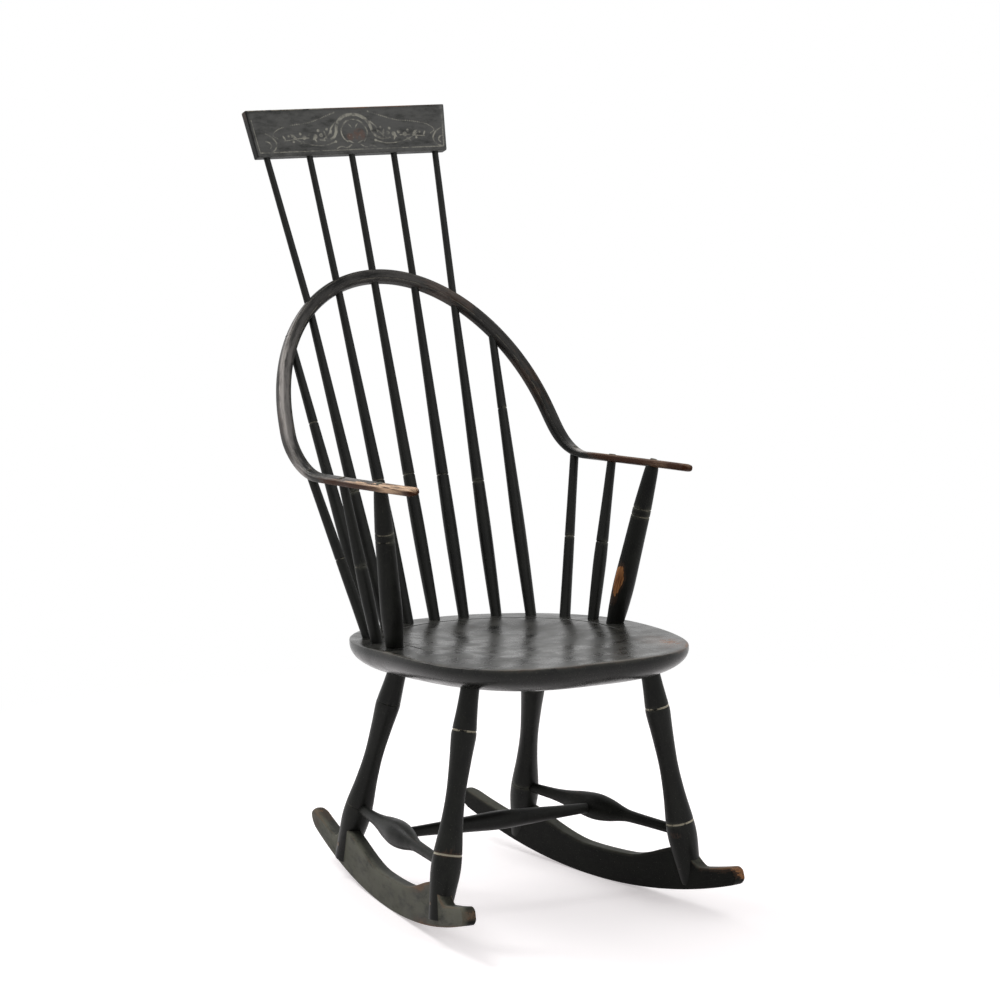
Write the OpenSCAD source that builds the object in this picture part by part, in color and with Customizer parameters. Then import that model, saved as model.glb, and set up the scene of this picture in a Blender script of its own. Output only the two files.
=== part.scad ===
// Comb back rocking chair, made the way a Windsor chair is made.
// A saddled plank seat is the heart of it: legs are socketed into its underside, posts and
// spindles into its deck. One bent bow is both the back hoop and the two arms. Five long
// spindles run through the hoop up to a flat crest board, the comb. The four legs straddle
// two bent rockers. Lengths are in millimetres.
//
// Two frames are used. The floor frame has z = 0 at the floor. The seat frame has its origin on
// the deck at the seat's widest line, x to the sitter's left, y to the back, z square to the
// deck, and it slopes back with the seat.

/* [Stance] */
// Height of the deck above the floor, at the seat's widest line
seat_h = 384.5; // [365:1:410]
// Backward slope of the seat at rest, in degrees
seat_tilt = 3.75; // [2:0.25:5.5]

/* [Seat plank] */
// Greatest width of the seat
seat_w = 430; // [422:1:444]
// From the widest line to the front edge
seat_front = 298; // [280:1:315]
// From the widest line to the back edge
seat_back = 227; // [220:1:240]
// Thickness of the plank
seat_t = 47; // [42:1:52]
// Depth of the saddled hollow below the deck
saddle_depth = 9; // [5:0.5:12]
// How far the deck has dropped at the front edge
front_drop = 9; // [4:0.5:11]
// How far the rounded underside runs in from the side and back edges
under_roll = 68; // [52:1:76]
// How far it runs in from the front edge
under_roll_front = 43; // [34:1:56]
// Spindle line: inset from the side edge
rim_side = 32; // [28:1:36]
// Spindle line: inset from the back edge
rim_back = 31.5; // [28:0.5:35]
// Depth of every socket bored into the deck
deck_socket = 26; // [20:1:30]
// Depth of the leg sockets in the underside
leg_socket = 32; // [26:1:36]

/* [Bow] */
// How far the middle of each arm stands out beyond the seat's side edge
arm_spread = 7.5; // [3:0.5:12]
// Height of the arms above the deck, to the middle of the wood
arm_h = 235; // [224:1:246]
// Height above the deck where the hoop's ellipse has its centre
hoop_base = 262; // [254:1:270]
// Rise of the hoop above that centre
hoop_rise = 245; // [232:1:256]
// How far the long spindles are sprung back where they pass through the hoop
spring_back = 0; // [0:0.5:5]
// Backward lean of the hoop's plane, in degrees from square to the deck
hoop_lean = 32; // [30:0.5:34.5]
// Radius of the bend from hoop to arm
elbow_r = 120; // [100:1:126]
// How far the arm reaches in front of the seat's widest line
arm_reach = 172; // [155:1:190]
// How far the arm swells outward between elbow and tip
arm_sway = 2; // [0:0.5:6]
// Width of the hoop's section, in the plane of the hoop
hoop_wide = 21; // [20:0.5:24]
// Thickness of the hoop's section
hoop_thick = 18; // [17:0.5:20]
// Width of the arm's section
arm_wide = 19; // [18:0.5:24]
// Thickness of the arm's section
arm_thick = 11; // [10:0.5:14]
// Roll of the arm's section, outer edge down, in degrees
arm_roll = 11; // [0:1:14]

/* [Comb] */
// Backward lean of the middle spindle, in degrees from square to the deck
back_lean = 17.1; // [16:0.1:18.4]
// Height above the deck of the crest board's lower edge
comb_h = 690.5; // [670:0.5:712]
// Length of the crest board at its top edge
crest_top_w = 340; // [328:1:352]
// Length of the crest board at its lower edge
crest_low_w = 323; // [316:1:330]
// Height of the crest board
crest_h = 73.8; // [66:0.2:80]
// Thickness of the crest board
crest_t = 15; // [14:0.5:18]
// Spacing of the long spindles along the crest board
crest_pitch = 72; // [70:0.5:74]
// How far the spindles go up into the crest board
crest_socket = 26; // [20:1:32]

/* [Spindles and posts] */
// Diameter of a long spindle at the deck
spindle_foot_d = 16.5; // [15:0.5:18]
// Diameter of a long spindle at its swelling
spindle_swell_d = 20; // [18:0.5:22]
// Diameter where a long spindle passes through the hoop
spindle_bow_d = 11.6; // [10:0.2:12]
// Diameter at the crest board
spindle_tip_d = 9.6; // [8:0.2:10.4]
// Diameter of the arm spindles below the arm
arm_spindle_top_d = 13; // [12.4:0.2:15]
// Diameter of the tenons that pass through the arms
arm_tenon_d = 10; // [9:0.2:10.6]
// Diameter of an arm post at the deck
post_foot_d = 25; // [22:0.5:27]
// Greatest diameter of an arm post
post_belly_d = 31.5; // [30:0.5:36]
// Diameter of an arm post below the arm
post_top_d = 20; // [17:0.5:22]

/* [Legs and stretchers] */
// Front legs: distance of the socket's axis inside the seat's side edge, at the deck
front_leg_in = 77; // [71:1:86]
// Front legs: distance of the socket in front of the widest line, at the deck
front_leg_y = 171; // [158:1:182]
// Rear legs: distance of the socket's axis inside the seat's side edge, at the deck
rear_leg_in = 105; // [95:1:114]
// Rear legs: distance of the socket behind the widest line, at the deck
rear_leg_y = 77; // [70:1:88]
// Diameter of a leg in its socket
leg_neck_d = 27; // [24:0.5:29]
// Diameter of a leg at its upper swelling
leg_swell_d = 35.5; // [33:0.5:38]
// Diameter of a leg at its waist
leg_waist_d = 27.5; // [25:0.5:30]
// Diameter of a leg at the ankle, below its lower ring
leg_ankle_d = 42; // [39:0.5:45]
// Diameter of a leg at the ends of its cheeks
leg_foot_d = 29; // [26:0.5:32]
// Height of the side stretchers above the floor
stretcher_h = 107; // [103:1:112]
// Diameter of the stretchers in their sockets
stretcher_end_d = 15; // [13:0.5:16]
// Greatest diameter of a side stretcher
side_bulge_d = 39; // [34:0.5:42]
// Greatest diameter of the cross stretcher
cross_bulge_d = 28; // [25:0.5:31]

/* [Rockers] */
// Radius of the rolling edge
rocker_r = 1028; // [950:2:1110]
// Where the rolling edge is lowest, behind the seat's widest line, under the balance point
balance_y = 16; // [0:0.5:24]
// Distance of a rocker from the middle, at the seat's widest line
rocker_x = 176.5; // [170:0.5:182]
// Angle by which the rockers spread toward the front, in degrees
rocker_toe = 8.2; // [6:0.1:10]
// Thickness of the rocker board
rocker_t = 20; // [18:0.5:22]
// From the seat's widest line to the rocker's front tip
rocker_front = 306; // [294:1:320]
// From the seat's widest line to the rocker's heel
rocker_back = 336; // [322:1:350]
// Where the front legs stand on the rockers, in front of the widest line
front_foot_y = 193; // [182:1:204]
// Where the rear legs stand on the rockers, behind the widest line
rear_foot_y = 192; // [184:1:200]
// Depth of the board midway between the legs
rocker_mid_d = 46; // [42:1:50]
// Depth of the board under a leg
rocker_boss_d = 63; // [58:1:68]
// Depth of the board near its ends
rocker_end_d = 33; // [30:0.5:36]
// Depth of the board at its rounded ends
rocker_tip_d = 26; // [24:0.5:29]
// How far the leg's cheeks stop above the rolling edge
cheek_stop = 10; // [6:1:16]
// Diameter of the pegs through cheeks and rocker
peg_d = 6; // [5:0.5:8]

/* [Fits] */
// Radial play of a tenon in its socket
play = 0.2; // [0.1:0.05:0.3]

/* [Hidden] */

$fn = 48;

// Painted wood, and the bare wood of the small fastenings
paint = [0.13, 0.14, 0.13];
bare_wood = [0.55, 0.38, 0.22];

// Half the width of the hoop, to the middle of the wood, and the legs' sockets from the middle
hoop_half = seat_w / 2 + arm_spread;
front_leg_x = seat_w / 2 - front_leg_in;
rear_leg_x = seat_w / 2 - rear_leg_in;
// Superellipse exponents of the seat's back and front halves
rim_back_n = 2;
rim_front_n = 3.1;
// How far a cut runs on past the wood
over = 12;
// Exponent of the line that the spindle feet stand on
feet_n = 2.2;
// Angles of the spindles round the back, from straight behind, in degrees
comb_angles = [28.5, 13, 0, -13, -28.5];
short_angle = 45.5;
rear_arm_angle = 63.5;
front_arm_angle = 80.5;
// Places of the long and short spindles on the hoop, in degrees of its ellipse
hoop_angles = [56.5, 73, 90, 107, 123.5];
short_hoop_angle = 40;
// Greatest diameters of the spindles under the arms
rear_arm_belly = spindle_swell_d - 4.5;
front_arm_belly = spindle_swell_d - 0.5;
// Arm post: foot in front of the widest line, and top in front of it
post_foot_y = 20;
post_top_y = 72;
// Arm spindle tops behind the widest line
rear_arm_top = 147;
front_arm_top = 42;
// Rings scored round the turnings, and bored and wedged fastenings
score_depth = 0.9;
score_half = 1.5;
tenon_proud = 1;
tenon_step = 1.5;
elbow_step = 2;
post_tenon_d = arm_tenon_d + 1;
wedge_len = 8;
wedge_thick = 2;
pin_d = 3;
// Radius of the corners at the ends of the rockers
tip_r = 11.5;

function unit(v) = v / norm(v);
function mix(a, b, t) = a + (b - a) * t;
// 0 to 1 with level ends
function ease(t) = let (u = min(max(t, 0), 1)) u * u * (3 - 2 * u);
function power(base, n) = pow(max(base, 0), n);
// Point of the seat frame, seen in the floor frame
function floor_of(p) = [p.x, p.y * cos(seat_tilt) + p.z * sin(seat_tilt),
    -p.y * sin(seat_tilt) + p.z * cos(seat_tilt) + seat_h];

// Stands children in the seat frame
module on_seat() translate([0, 0, seat_h]) rotate([-seat_tilt, 0, 0]) children();

// Puts the origin on the floor, under the middle of the whole chair
front_run = tip_r + (rocker_r - tip_r) * sin(-edge_angle(tip_r - rocker_front));
front_reach = balance_y - front_run * cos(rocker_toe) - rocker_t / 2 * sin(rocker_toe);
crest_top = floor_of([0, crest_foot().y + crest_h * sin(back_lean) + crest_t / 2 * cos(back_lean),
    comb_h + crest_h * cos(back_lean) - crest_t / 2 * sin(back_lean)]);
mid_y = (front_reach + crest_top.y) / 2;
module centred() translate([0, -mid_y, 0]) children();

// Turns children so that their z axis runs from p to q
module along(p, q) {
    d = q - p;
    translate(p) rotate([0, acos(d.z / norm(d)), atan2(d.y, d.x)]) children();
}

// A round hole from p to q. Its seam is turned off the axis of lean, clear of the skins' own edges.
seam_turn = 40;
module bore(p, q, d) {
    along(p, q) rotate([0, 0, seam_turn]) cylinder(h = norm(q - p), d = d + 2 * play);
}

// Turned work.
// A turning is a list of [place, diameter, scored], read as a smooth curve through the stations.
function spline(a, b, c, d, t) =
    0.5 * (2 * b + (c - a) * t + (2 * a - 5 * b + 4 * c - d) * t * t
        + (3 * b - a - 3 * c + d) * t * t * t);
function station_at(st, i, t) = [for (k = [0, 1])
    spline(st[max(i - 1, 0)][k], st[i][k], st[i + 1][k], st[min(i + 2, len(st) - 1)][k], t)];
function scored(s) = s[2] == true
    ? [[s[0] - score_half, s[1]], [s[0], s[1] - 2 * score_depth], [s[0] + score_half, s[1]]]
    : [[s[0], s[1]]];
function turned_line(st, steps = 5) = [for (i = [0:len(st) - 1])
    each concat(scored(st[i]),
        i < len(st) - 1 ? [for (k = [1:steps - 1]) station_at(st, i, k / steps)] : [])];

// A tenon, if it has one, is [diameter, end], stepped down from the last station.
module turned(st, tenon = []) {
    line = turned_line(st);
    neck = st[len(st) - 1][0];
    end = len(tenon) == 2 ? tenon[1] : neck;
    rotate_extrude() polygon(concat([[0, st[0][0]]], [for (p = line) [p[1] / 2, p[0]]],
        len(tenon) == 2 ? [[tenon[0] / 2, neck], [tenon[0] / 2, end]] : [], [[0, end]]));
}

// Seat.
// The outline is two half superellipses that meet at the widest line.
function rim_y(a, half_depth, n) = half_depth * power(abs(cos(a)), 2 / n) * sign(cos(a));
function rim_x(a, half_width, n) = half_width * power(abs(sin(a)), 2 / n) * sign(sin(a));
function rim(a, side = 0, back = 0, front = 0) = cos(a) >= 0
    ? [rim_x(a, seat_w / 2 - side, rim_back_n), rim_y(a, seat_back - back, rim_back_n)]
    : [rim_x(a, seat_w / 2 - side, rim_front_n), rim_y(a, seat_front - front, rim_front_n)];
// Place of a spindle foot, inside the back edge
function on_rim(a) = [rim_x(a, seat_w / 2 - rim_side, feet_n), rim_y(a, seat_back - rim_back, feet_n), 0];

// The deck falls gently toward the front; inside the incised line it is dished.
seat_rays = 72;
function ray(k) = (k + 0.5) * 360 / seat_rays;
groove_at = 0.745;
groove_depth = 1.6;
groove_end_y = -95;
groove_fade = 60;
edge_flat = 5;
edge_ease = 1.2;
function deck_fall(y) = front_drop * ease(-y / seat_front);
function dish(share) = saddle_depth * ease((groove_at - share) / 0.5);
function top_ring(share, drop = 0) = [for (k = [0:seat_rays - 1])
    let (p = rim(ray(k)) * share)
    [p.x, p.y, -deck_fall(p.y) - dish(share) - drop]];
// The line incised in front of the spindle feet fades out beyond the arm posts
function groove_ring() = [for (p = top_ring(groove_at))
    p - [0, 0, groove_depth * ease((p.y - groove_end_y) / groove_fade)]];
// Underside: a quarter superellipse from the edge down to the flat
function under_ring(t) = [for (k = [0:seat_rays - 1])
    let (a = ray(k), in = 1 - power(cos(90 * t), 1.25), run = under_roll * in,
        p = rim(a, run, run, under_roll_front * in))
    [p.x, p.y, mix(-deck_fall(p.y) - edge_flat, -seat_t, power(sin(90 * t), 0.9))]];
top_shares = [0.18, 0.34, 0.48, 0.6, 0.68, groove_at - 0.012, groove_at, groove_at + 0.012, 0.86, 0.95,
    0.988];
seat_rings = concat(
    [for (s = top_shares) s == groove_at ? groove_ring() : top_ring(s)],
    [top_ring(1, edge_ease)],
    [for (t = [0, 0.12, 0.26, 0.42, 0.6, 0.8, 1]) under_ring(t)]);

// Joins rings of points into one closed skin, with a point at the middle of each end
function skin_points(rings) = concat([centre(rings[0])], [for (r = rings) each r],
    [centre(rings[len(rings) - 1])]);
function centre(ring) = let (n = len(ring)) [for (k = [0:2]) sum([for (p = ring) p[k]]) / n];
function sum(list, i = 0) = i < len(list) ? list[i] + sum(list, i + 1) : 0;
function skin_faces(rings) = let (n = len(rings[0]), m = len(rings), last = m * n + 1) concat(
    [for (k = [0:n - 1]) [0, 1 + k, 1 + (k + 1) % n]],
    [for (i = [0:m - 2], k = [0:n - 1]) each
        let (a = 1 + i * n + k, b = 1 + i * n + (k + 1) % n, c = a + n, d = b + n)
        [[a, c, d], [a, d, b]]],
    [for (k = [0:n - 1]) [last, last - n + (k + 1) % n, last - n + k]]);

module skin(rings) polyhedron(skin_points(rings), skin_faces(rings), convexity = 6);

module seat_body() {
    color(paint) difference() {
        on_seat() skin(seat_rings);
        on_seat() for (s = [-1, 1]) {
            for (leg = [front_leg(s), rear_leg(s)])
                bore(leg_in_seat(leg), leg_below_seat(leg), leg_neck_d);
            deck_bore(arm_post_line(s), post_foot_d);
            deck_bore(arm_spindle_line(s, rear_arm_angle, rear_arm_top), spindle_foot_d);
            deck_bore(arm_spindle_line(s, front_arm_angle, front_arm_top), spindle_foot_d);
            deck_bore(short_line(s), spindle_foot_d);
        }
        on_seat() for (i = [0:4]) deck_bore(comb_line(i), spindle_foot_d);
    }
}
// A socket bored down into the deck along a line [foot, next point]
module deck_bore(line, d) {
    u = unit(line[1] - line[0]);
    bore(line[0] - u * deck_socket, line[0] + u * 2 * front_drop, d);
}

// Bow.
// Seat frame. The path starts at the middle of the hoop and ends at the sitter's left arm tip;
// its mirror makes the other half. Each ring of the skin is square to the path.
hoop_top_y = on_rim(0).y + (hoop_base + hoop_rise) * tan(back_lean) + spring_back;
hoop_foot_y = hoop_top_y - hoop_rise * tan(hoop_lean);
function hoop_point(a) = [hoop_half * cos(a), hoop_foot_y + hoop_rise * tan(hoop_lean) * sin(a),
    hoop_base + hoop_rise * sin(a)];
// The elbow is an arc, seen from the side, tangent to the hoop's plane and to the arm
elbow_tangent = elbow_r * tan((90 - hoop_lean) / 2);
elbow_knee_y = hoop_foot_y - (hoop_base - arm_h) * tan(hoop_lean);
elbow_end_y = elbow_knee_y - elbow_tangent;
elbow_top_h = arm_h + elbow_tangent * cos(hoop_lean);
hoop_end = asin((elbow_top_h - hoop_base) / hoop_rise);
function elbow_point(a) = [hoop_half, elbow_end_y + elbow_r * cos(a), arm_h + elbow_r * (1 - sin(a))];
arm_run = arm_reach + elbow_end_y;
function arm_point(y) = [hoop_half + arm_sway * sin(180 * (elbow_end_y - y) / arm_run), y, arm_h];
// Point of the arm's middle line over a given y, on the arm or in the elbow
function over_y(y) = y <= elbow_end_y ? arm_point(y)
    : elbow_point(acos((y - elbow_end_y) / elbow_r));

// Ring of the section: point, tangent, normal of the front or top face, width, thickness
section_sides = 16;
section_n = 3;
function section_ring(p, t, up, w, h) = let (n = unit(up - t * (up * t)), b = cross(n, t))
    [for (k = [0:section_sides - 1]) let (a = (k + 0.5) * 360 / section_sides)
        p + b * (w / 2 * power(abs(cos(a)), 2 / section_n) * sign(cos(a)))
          + n * (h / 2 * power(abs(sin(a)), 2 / section_n) * sign(sin(a)))];
function facing(a) = [0, -cos(a), sin(a)];
function hoop_tangent(a) = unit([hoop_half * sin(a), -hoop_rise * tan(hoop_lean) * cos(a),
    -hoop_rise * cos(a)]);
function hoop_ring(a) = section_ring(hoop_point(a), hoop_tangent(a), facing(hoop_lean),
    hoop_wide, hoop_thick);
// In the elbow the section thins to the arm's while its face turns from front to top
function elbow_ring(a) = let (t = (a - hoop_lean) / (90 - hoop_lean))
    section_ring(elbow_point(a), [0, -sin(a), -cos(a)], rolled(facing(a), arm_roll * ease(t)),
        mix(hoop_wide, arm_wide, ease(t)), mix(hoop_thick, arm_thick, ease(t)));
function rolled(up, roll) = up * cos(roll) + [sin(roll), 0, 0];
// The tip is rounded off over its last stretch
tip_round = 9;
function tip_share(y) = let (d = tip_round - (y + arm_reach))
    d <= 0 ? 1 : sqrt(max(1 - d * d / tip_round / tip_round, 0.05));
function arm_ring(y) = section_ring(arm_point(y), [0, -1, 0], rolled([0, 0, 1], arm_roll),
    arm_wide * mix(1, tip_share(y), 0.7), arm_thick * mix(1, tip_share(y), 0.8));
hoop_steps = 22;
elbow_steps = 8;
arm_steps = 6;
half_bow = concat(
    [for (i = [0:hoop_steps]) hoop_ring(mix(90, hoop_end, i / hoop_steps))],
    [for (i = [1:elbow_steps]) elbow_ring(mix(hoop_lean, 90, i / elbow_steps))],
    [for (i = [1:arm_steps]) arm_ring(mix(elbow_end_y, tip_round - arm_reach, i / arm_steps))],
    [for (s = [0.6, 0.3, 0.1, 0]) arm_ring(s * tip_round - arm_reach)]);
function mirrored(ring) = [for (p = ring) flip(p, -1)];
bow_rings = concat([for (i = [len(half_bow) - 1:-1:1]) mirrored(half_bow[i])], half_bow);

module bow() {
    color(paint) difference() {
        skin(bow_rings);
        for (i = [0:4]) let (l = comb_line(i), u = unit(l[2] - l[0]))
            bore(l[1] - u * hoop_thick, l[1] + u * hoop_thick, spindle_bow_d);
        for (s = [-1, 1]) {
            through_bow(short_line(s), spindle_bow_d);
            through_bow(arm_spindle_line(s, rear_arm_angle, rear_arm_top), arm_tenon_d);
            through_bow(arm_spindle_line(s, front_arm_angle, front_arm_top), arm_tenon_d);
            through_bow(arm_post_line(s), post_tenon_d);
        }
    }
}
module through_bow(line, d) {
    u = unit(line[1] - line[0]);
    bore(line[1] - u * hoop_wide, line[1] + u * hoop_wide, d);
}

// Lines of the spindles and posts in the seat frame: foot on the deck, then the bow.
// side is 1 for the sitter's left and -1 for the right.
function crest_foot() = [0, on_rim(0).y + comb_h * tan(back_lean), comb_h];
function comb_line(i) = [on_rim(comb_angles[i]), hoop_point(hoop_angles[i]),
    crest_foot() + [(2 - i) * crest_pitch, 0, 0]];
function flip(p, side) = [p.x * side, p.y, p.z];
function short_line(side) = [flip(on_rim(short_angle), side), flip(hoop_point(short_hoop_angle), side)];
function arm_spindle_line(side, a, top_y) = [flip(on_rim(a), side), flip(over_y(top_y), side)];
function arm_post_line(side) = [[side * (seat_w / 2 - rim_side), -post_foot_y, 0],
    flip(arm_point(-post_top_y), side)];

// Long spindle: swells above the deck, thins to the hoop and again to the crest board.
// It is sprung at the hoop, so it is two straight turnings that meet in the hole there.
spring_lap = 3;
upper_d = spindle_bow_d - 0.6;
module comb_spindle(i) {
    l = comb_line(i);
    low = norm(l[1] - l[0]);
    high = norm(l[2] - l[1]);
    color(paint) difference() {
        union() {
            comb_spindle_low(l, low);
            comb_spindle_high(l, high);
        }
        crest_pin(i, play);
    }
}
module comb_spindle_low(l, low) along(l[0], l[1]) turned([
    [-deck_socket, spindle_foot_d], [0, spindle_foot_d],
    [0.14 * low, mix(spindle_foot_d, spindle_swell_d, 0.75)],
    [0.27 * low, spindle_swell_d], [0.42 * low, mix(spindle_swell_d, spindle_bow_d, 0.22), true],
    [0.66 * low, mix(spindle_swell_d, spindle_bow_d, 0.6)],
    [low - hoop_thick, spindle_bow_d], [low + spring_lap, spindle_bow_d]]);
module comb_spindle_high(l, high) along(l[1], l[2]) turned([
    [0, upper_d], [hoop_thick, upper_d], [0.6 * high, mix(upper_d, spindle_tip_d, 0.6)],
    [high, spindle_tip_d], [high + crest_socket - 1, spindle_tip_d]]);

// A tenon that comes through the bow is split by a wedge, in the direction across the grain
module wedge(line, length, across) {
    top = norm(line[1] - line[0]) + length;
    along(line[0], line[1]) translate([0, 0, top]) rotate([90, 0, across])
        linear_extrude(height = arm_tenon_d * 0.8, center = true)
            polygon([[-wedge_thick / 2, 0], [wedge_thick / 2, 0], [wedge_thick / 5, -wedge_len],
                [-wedge_thick / 5, -wedge_len]]);
}

// Short spindle of the back: like the long ones, ending through the hoop
short_proud = hoop_wide / 2 + tenon_proud;
module back_spindle(side) {
    l = short_line(side);
    low = norm(l[1] - l[0]);
    color(paint) difference() {
        along(l[0], l[1]) turned([[-deck_socket, spindle_foot_d], [0, spindle_foot_d],
            [0.16 * low, mix(spindle_foot_d, spindle_swell_d, 0.6)],
            [0.32 * low, mix(spindle_foot_d, spindle_swell_d, 0.85)],
            [0.5 * low, mix(spindle_swell_d, spindle_bow_d, 0.35)],
            [0.72 * low, mix(spindle_swell_d, spindle_bow_d, 0.7), true],
            [low - hoop_thick, spindle_bow_d], [low + short_proud, spindle_bow_d]]);
        wedge(l, short_proud, 0);
    }
}

// Spindle under the arm: one scored ring, and a tenon through the arm.
// belly is its greatest diameter.
arm_proud = arm_thick / 2 + tenon_proud;
shoulder = arm_thick / 2 + tenon_step;
module arm_spindle(side, a, top_y, belly) {
    l = arm_spindle_line(side, a, top_y);
    low = norm(l[1] - l[0]);
    neck = low - (top_y > elbow_end_y ? shoulder + elbow_step : shoulder);
    color(paint) difference() {
        along(l[0], l[1]) turned([[-deck_socket, spindle_foot_d], [0, spindle_foot_d],
            [0.2 * low, mix(spindle_foot_d, belly, 0.7)], [0.36 * low, belly],
            [0.48 * low, mix(belly, arm_spindle_top_d, 0.2), true],
            [0.74 * low, mix(belly, arm_spindle_top_d, 0.7)], [neck, arm_spindle_top_d]],
            tenon = [arm_tenon_d, low + arm_proud]);
        wedge(l, arm_proud, 0);
    }
}

// Arm post: bamboo turning with two rings close together, thickest near the seat
module arm_post(side) {
    l = arm_post_line(side);
    low = norm(l[1] - l[0]);
    neck = low - shoulder;
    color(paint) difference() {
        along(l[0], l[1]) turned([[-deck_socket, post_foot_d], [0, post_foot_d],
            [0.1 * low, mix(post_foot_d, post_belly_d, 0.6)],
            [0.24 * low, post_belly_d], [0.42 * low, mix(post_top_d, post_belly_d, 0.86)],
            [0.62 * low, mix(post_top_d, post_belly_d, 0.7)],
            [0.675 * low, mix(post_top_d, post_belly_d, 0.66), true],
            [0.72 * low, mix(post_top_d, post_belly_d, 0.62), true],
            [0.86 * low, mix(post_top_d, post_belly_d, 0.3)], [neck, post_top_d]],
            tenon = [post_tenon_d, low + arm_proud]);
        wedge(l, arm_proud, 0);
    }
}

// Crest board: flat, longer at the top than below, with the spindles in its lower edge
crest_round = 5;
module crest() {
    corners = [[-crest_low_w / 2, 0], [crest_low_w / 2, 0], [crest_top_w / 2, crest_h],
        [-crest_top_w / 2, crest_h]];
    color(paint) difference() {
        translate(crest_foot()) rotate([90 - back_lean, 0, 0])
            linear_extrude(height = crest_t, center = true) board_outline(corners, crest_round);
        for (i = [0:4]) let (l = comb_line(i), u = unit(l[2] - l[1]))
            bore(l[2] - u * crest_socket, l[2] + u * crest_socket, spindle_tip_d);
        for (i = [0:4]) crest_pin(i, play);
    }
}
// Polygon with each corner rounded by a circle that touches both of its sides
module board_outline(corners, r) {
    n = len(corners);
    spots = [for (i = [0:n - 1]) corner_spot(corners[(i + n - 1) % n], corners[i], corners[(i + 1) % n], r)];
    union() {
        polygon([for (s = spots) each [s[1], s[2]]]);
        for (s = spots) translate(s[0]) circle(r = r);
    }
}
// Circle centre and its two touching points for a corner
function corner_spot(a, b, c, r) = let (u = unit(a - b), v = unit(c - b), half = acos(u * v) / 2,
    run = r / tan(half)) [b + unit(u + v) * r / sin(half), b + u * run, b + v * run];

// Pins from the back of the crest board through the spindle tips
pin_up = 12;
module crest_pin(i, more = 0) {
    l = comb_line(i);
    u = unit(l[2] - l[1]);
    translate(l[2] + u * pin_up) rotate([-90 - back_lean, 0, 0])
        translate([0, 0, -crest_t / 4])
            cylinder(h = crest_t * 3 / 4 + (more > 0 ? 1 : 0), d = pin_d + 2 * more);
}

// Legs, in the floor frame: axis from the deck to the rocker's board
function rocker_line_x(y) = rocker_x - y * tan(rocker_toe);
function leg_foot(side, y) = [side * rocker_line_x(y), y, edge_z(y) + rocker_boss_d / 2];
function front_leg(side) = [floor_of([side * front_leg_x, -front_leg_y, 0]), leg_foot(side, -front_foot_y)];
function rear_leg(side) = [floor_of([side * rear_leg_x, rear_leg_y, 0]), leg_foot(side, rear_foot_y)];
function seat_of(p) = let (z = p.z - seat_h) [p.x, p.y * cos(seat_tilt) - z * sin(seat_tilt),
    p.y * sin(seat_tilt) + z * cos(seat_tilt)];
// The same axis in the seat frame: the socket's blind end, and a point below the plank
function leg_at_depth(leg, depth) = let (a = seat_of(leg[0]), b = seat_of(leg[1]))
    a + (b - a) * (depth / (a.z - b.z));
function leg_in_seat(leg) = leg_at_depth(leg, seat_t - leg_socket);
function leg_below_seat(leg) = leg_at_depth(leg, seat_t + over);
function leg_at_floor_h(leg, z) = leg[0] + (leg[1] - leg[0]) * ((leg[0].z - z) / (leg[0].z - leg[1].z));

module leg(l, side) {
    top = floor_of(leg_in_seat(l));
    under = norm(floor_of(leg_at_depth(l, seat_t)) - top);
    foot = leg_at_floor_h(l, edge_z(l[1].y) + cheek_stop);
    run = norm(foot - top) - under;
    color(paint) difference() {
        along(top, foot) turned([[1, leg_neck_d], [under, leg_neck_d],
            [under + 0.08 * run, mix(leg_neck_d, leg_swell_d, 0.3)],
            [under + 0.176 * run, mix(leg_neck_d, leg_swell_d, 0.92), true],
            [under + 0.21 * run, leg_swell_d], [under + 0.31 * run, mix(leg_waist_d, leg_swell_d, 0.45)],
            [under + 0.45 * run, leg_waist_d], [under + 0.58 * run, mix(leg_waist_d, leg_ankle_d, 0.28)],
            [under + 0.713 * run, mix(leg_waist_d, leg_ankle_d, 0.9), true],
            [under + 0.79 * run, leg_ankle_d], [under + 0.88 * run, mix(leg_ankle_d, leg_foot_d, 0.42)],
            [under + run, leg_foot_d]]);
        rocker_board(side, play);
        stretcher_bore(side);
        for (p = peg_places(side)) peg(p, side, play);
    }
}

// Side stretcher: from front leg to rear leg at one height, with a short steep bulge
stretcher_in = 3;
function side_ends(side) = [leg_at_floor_h(front_leg(side), stretcher_h),
    leg_at_floor_h(rear_leg(side), stretcher_h)];
module stretcher_bore(side) {
    e = side_ends(side);
    u = unit(e[1] - e[0]);
    for (k = [0, 1]) let (inward = k == 0 ? u : -u)
        bore(e[k] - inward * (stretcher_in + 1), e[k] + inward * leg_ankle_d, stretcher_end_d);
}
// The bulge sits a little behind the middle, and the cross stretcher enters it there
bulge_at = 0.53;
module side_stretcher(side) {
    e = side_ends(side);
    u = unit(e[1] - e[0]);
    a = e[0] - u * stretcher_in;
    len = norm(e[1] - e[0]) + 2 * stretcher_in;
    socket = leg_ankle_d / 2 + stretcher_in;
    color(paint) difference() {
        along(a, e[1]) turned([[0, stretcher_end_d], [socket, stretcher_end_d],
            [0.3 * len, mix(stretcher_end_d, side_bulge_d, 0.08)],
            [0.37 * len, mix(stretcher_end_d, side_bulge_d, 0.28)],
            [0.45 * len, mix(stretcher_end_d, side_bulge_d, 0.76)],
            [bulge_at * len, side_bulge_d],
            [0.62 * len, mix(stretcher_end_d, side_bulge_d, 0.78)],
            [0.71 * len, mix(stretcher_end_d, side_bulge_d, 0.38)],
            [0.8 * len, mix(stretcher_end_d, side_bulge_d, 0.12)],
            [len - socket, stretcher_end_d], [len, stretcher_end_d]]);
        bore(cross_end(-1), cross_end(1), stretcher_end_d);
    }
}
function bulge_point(side) = let (e = side_ends(side)) mix(e[0], e[1], bulge_at);
cross_in = 4;
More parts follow.
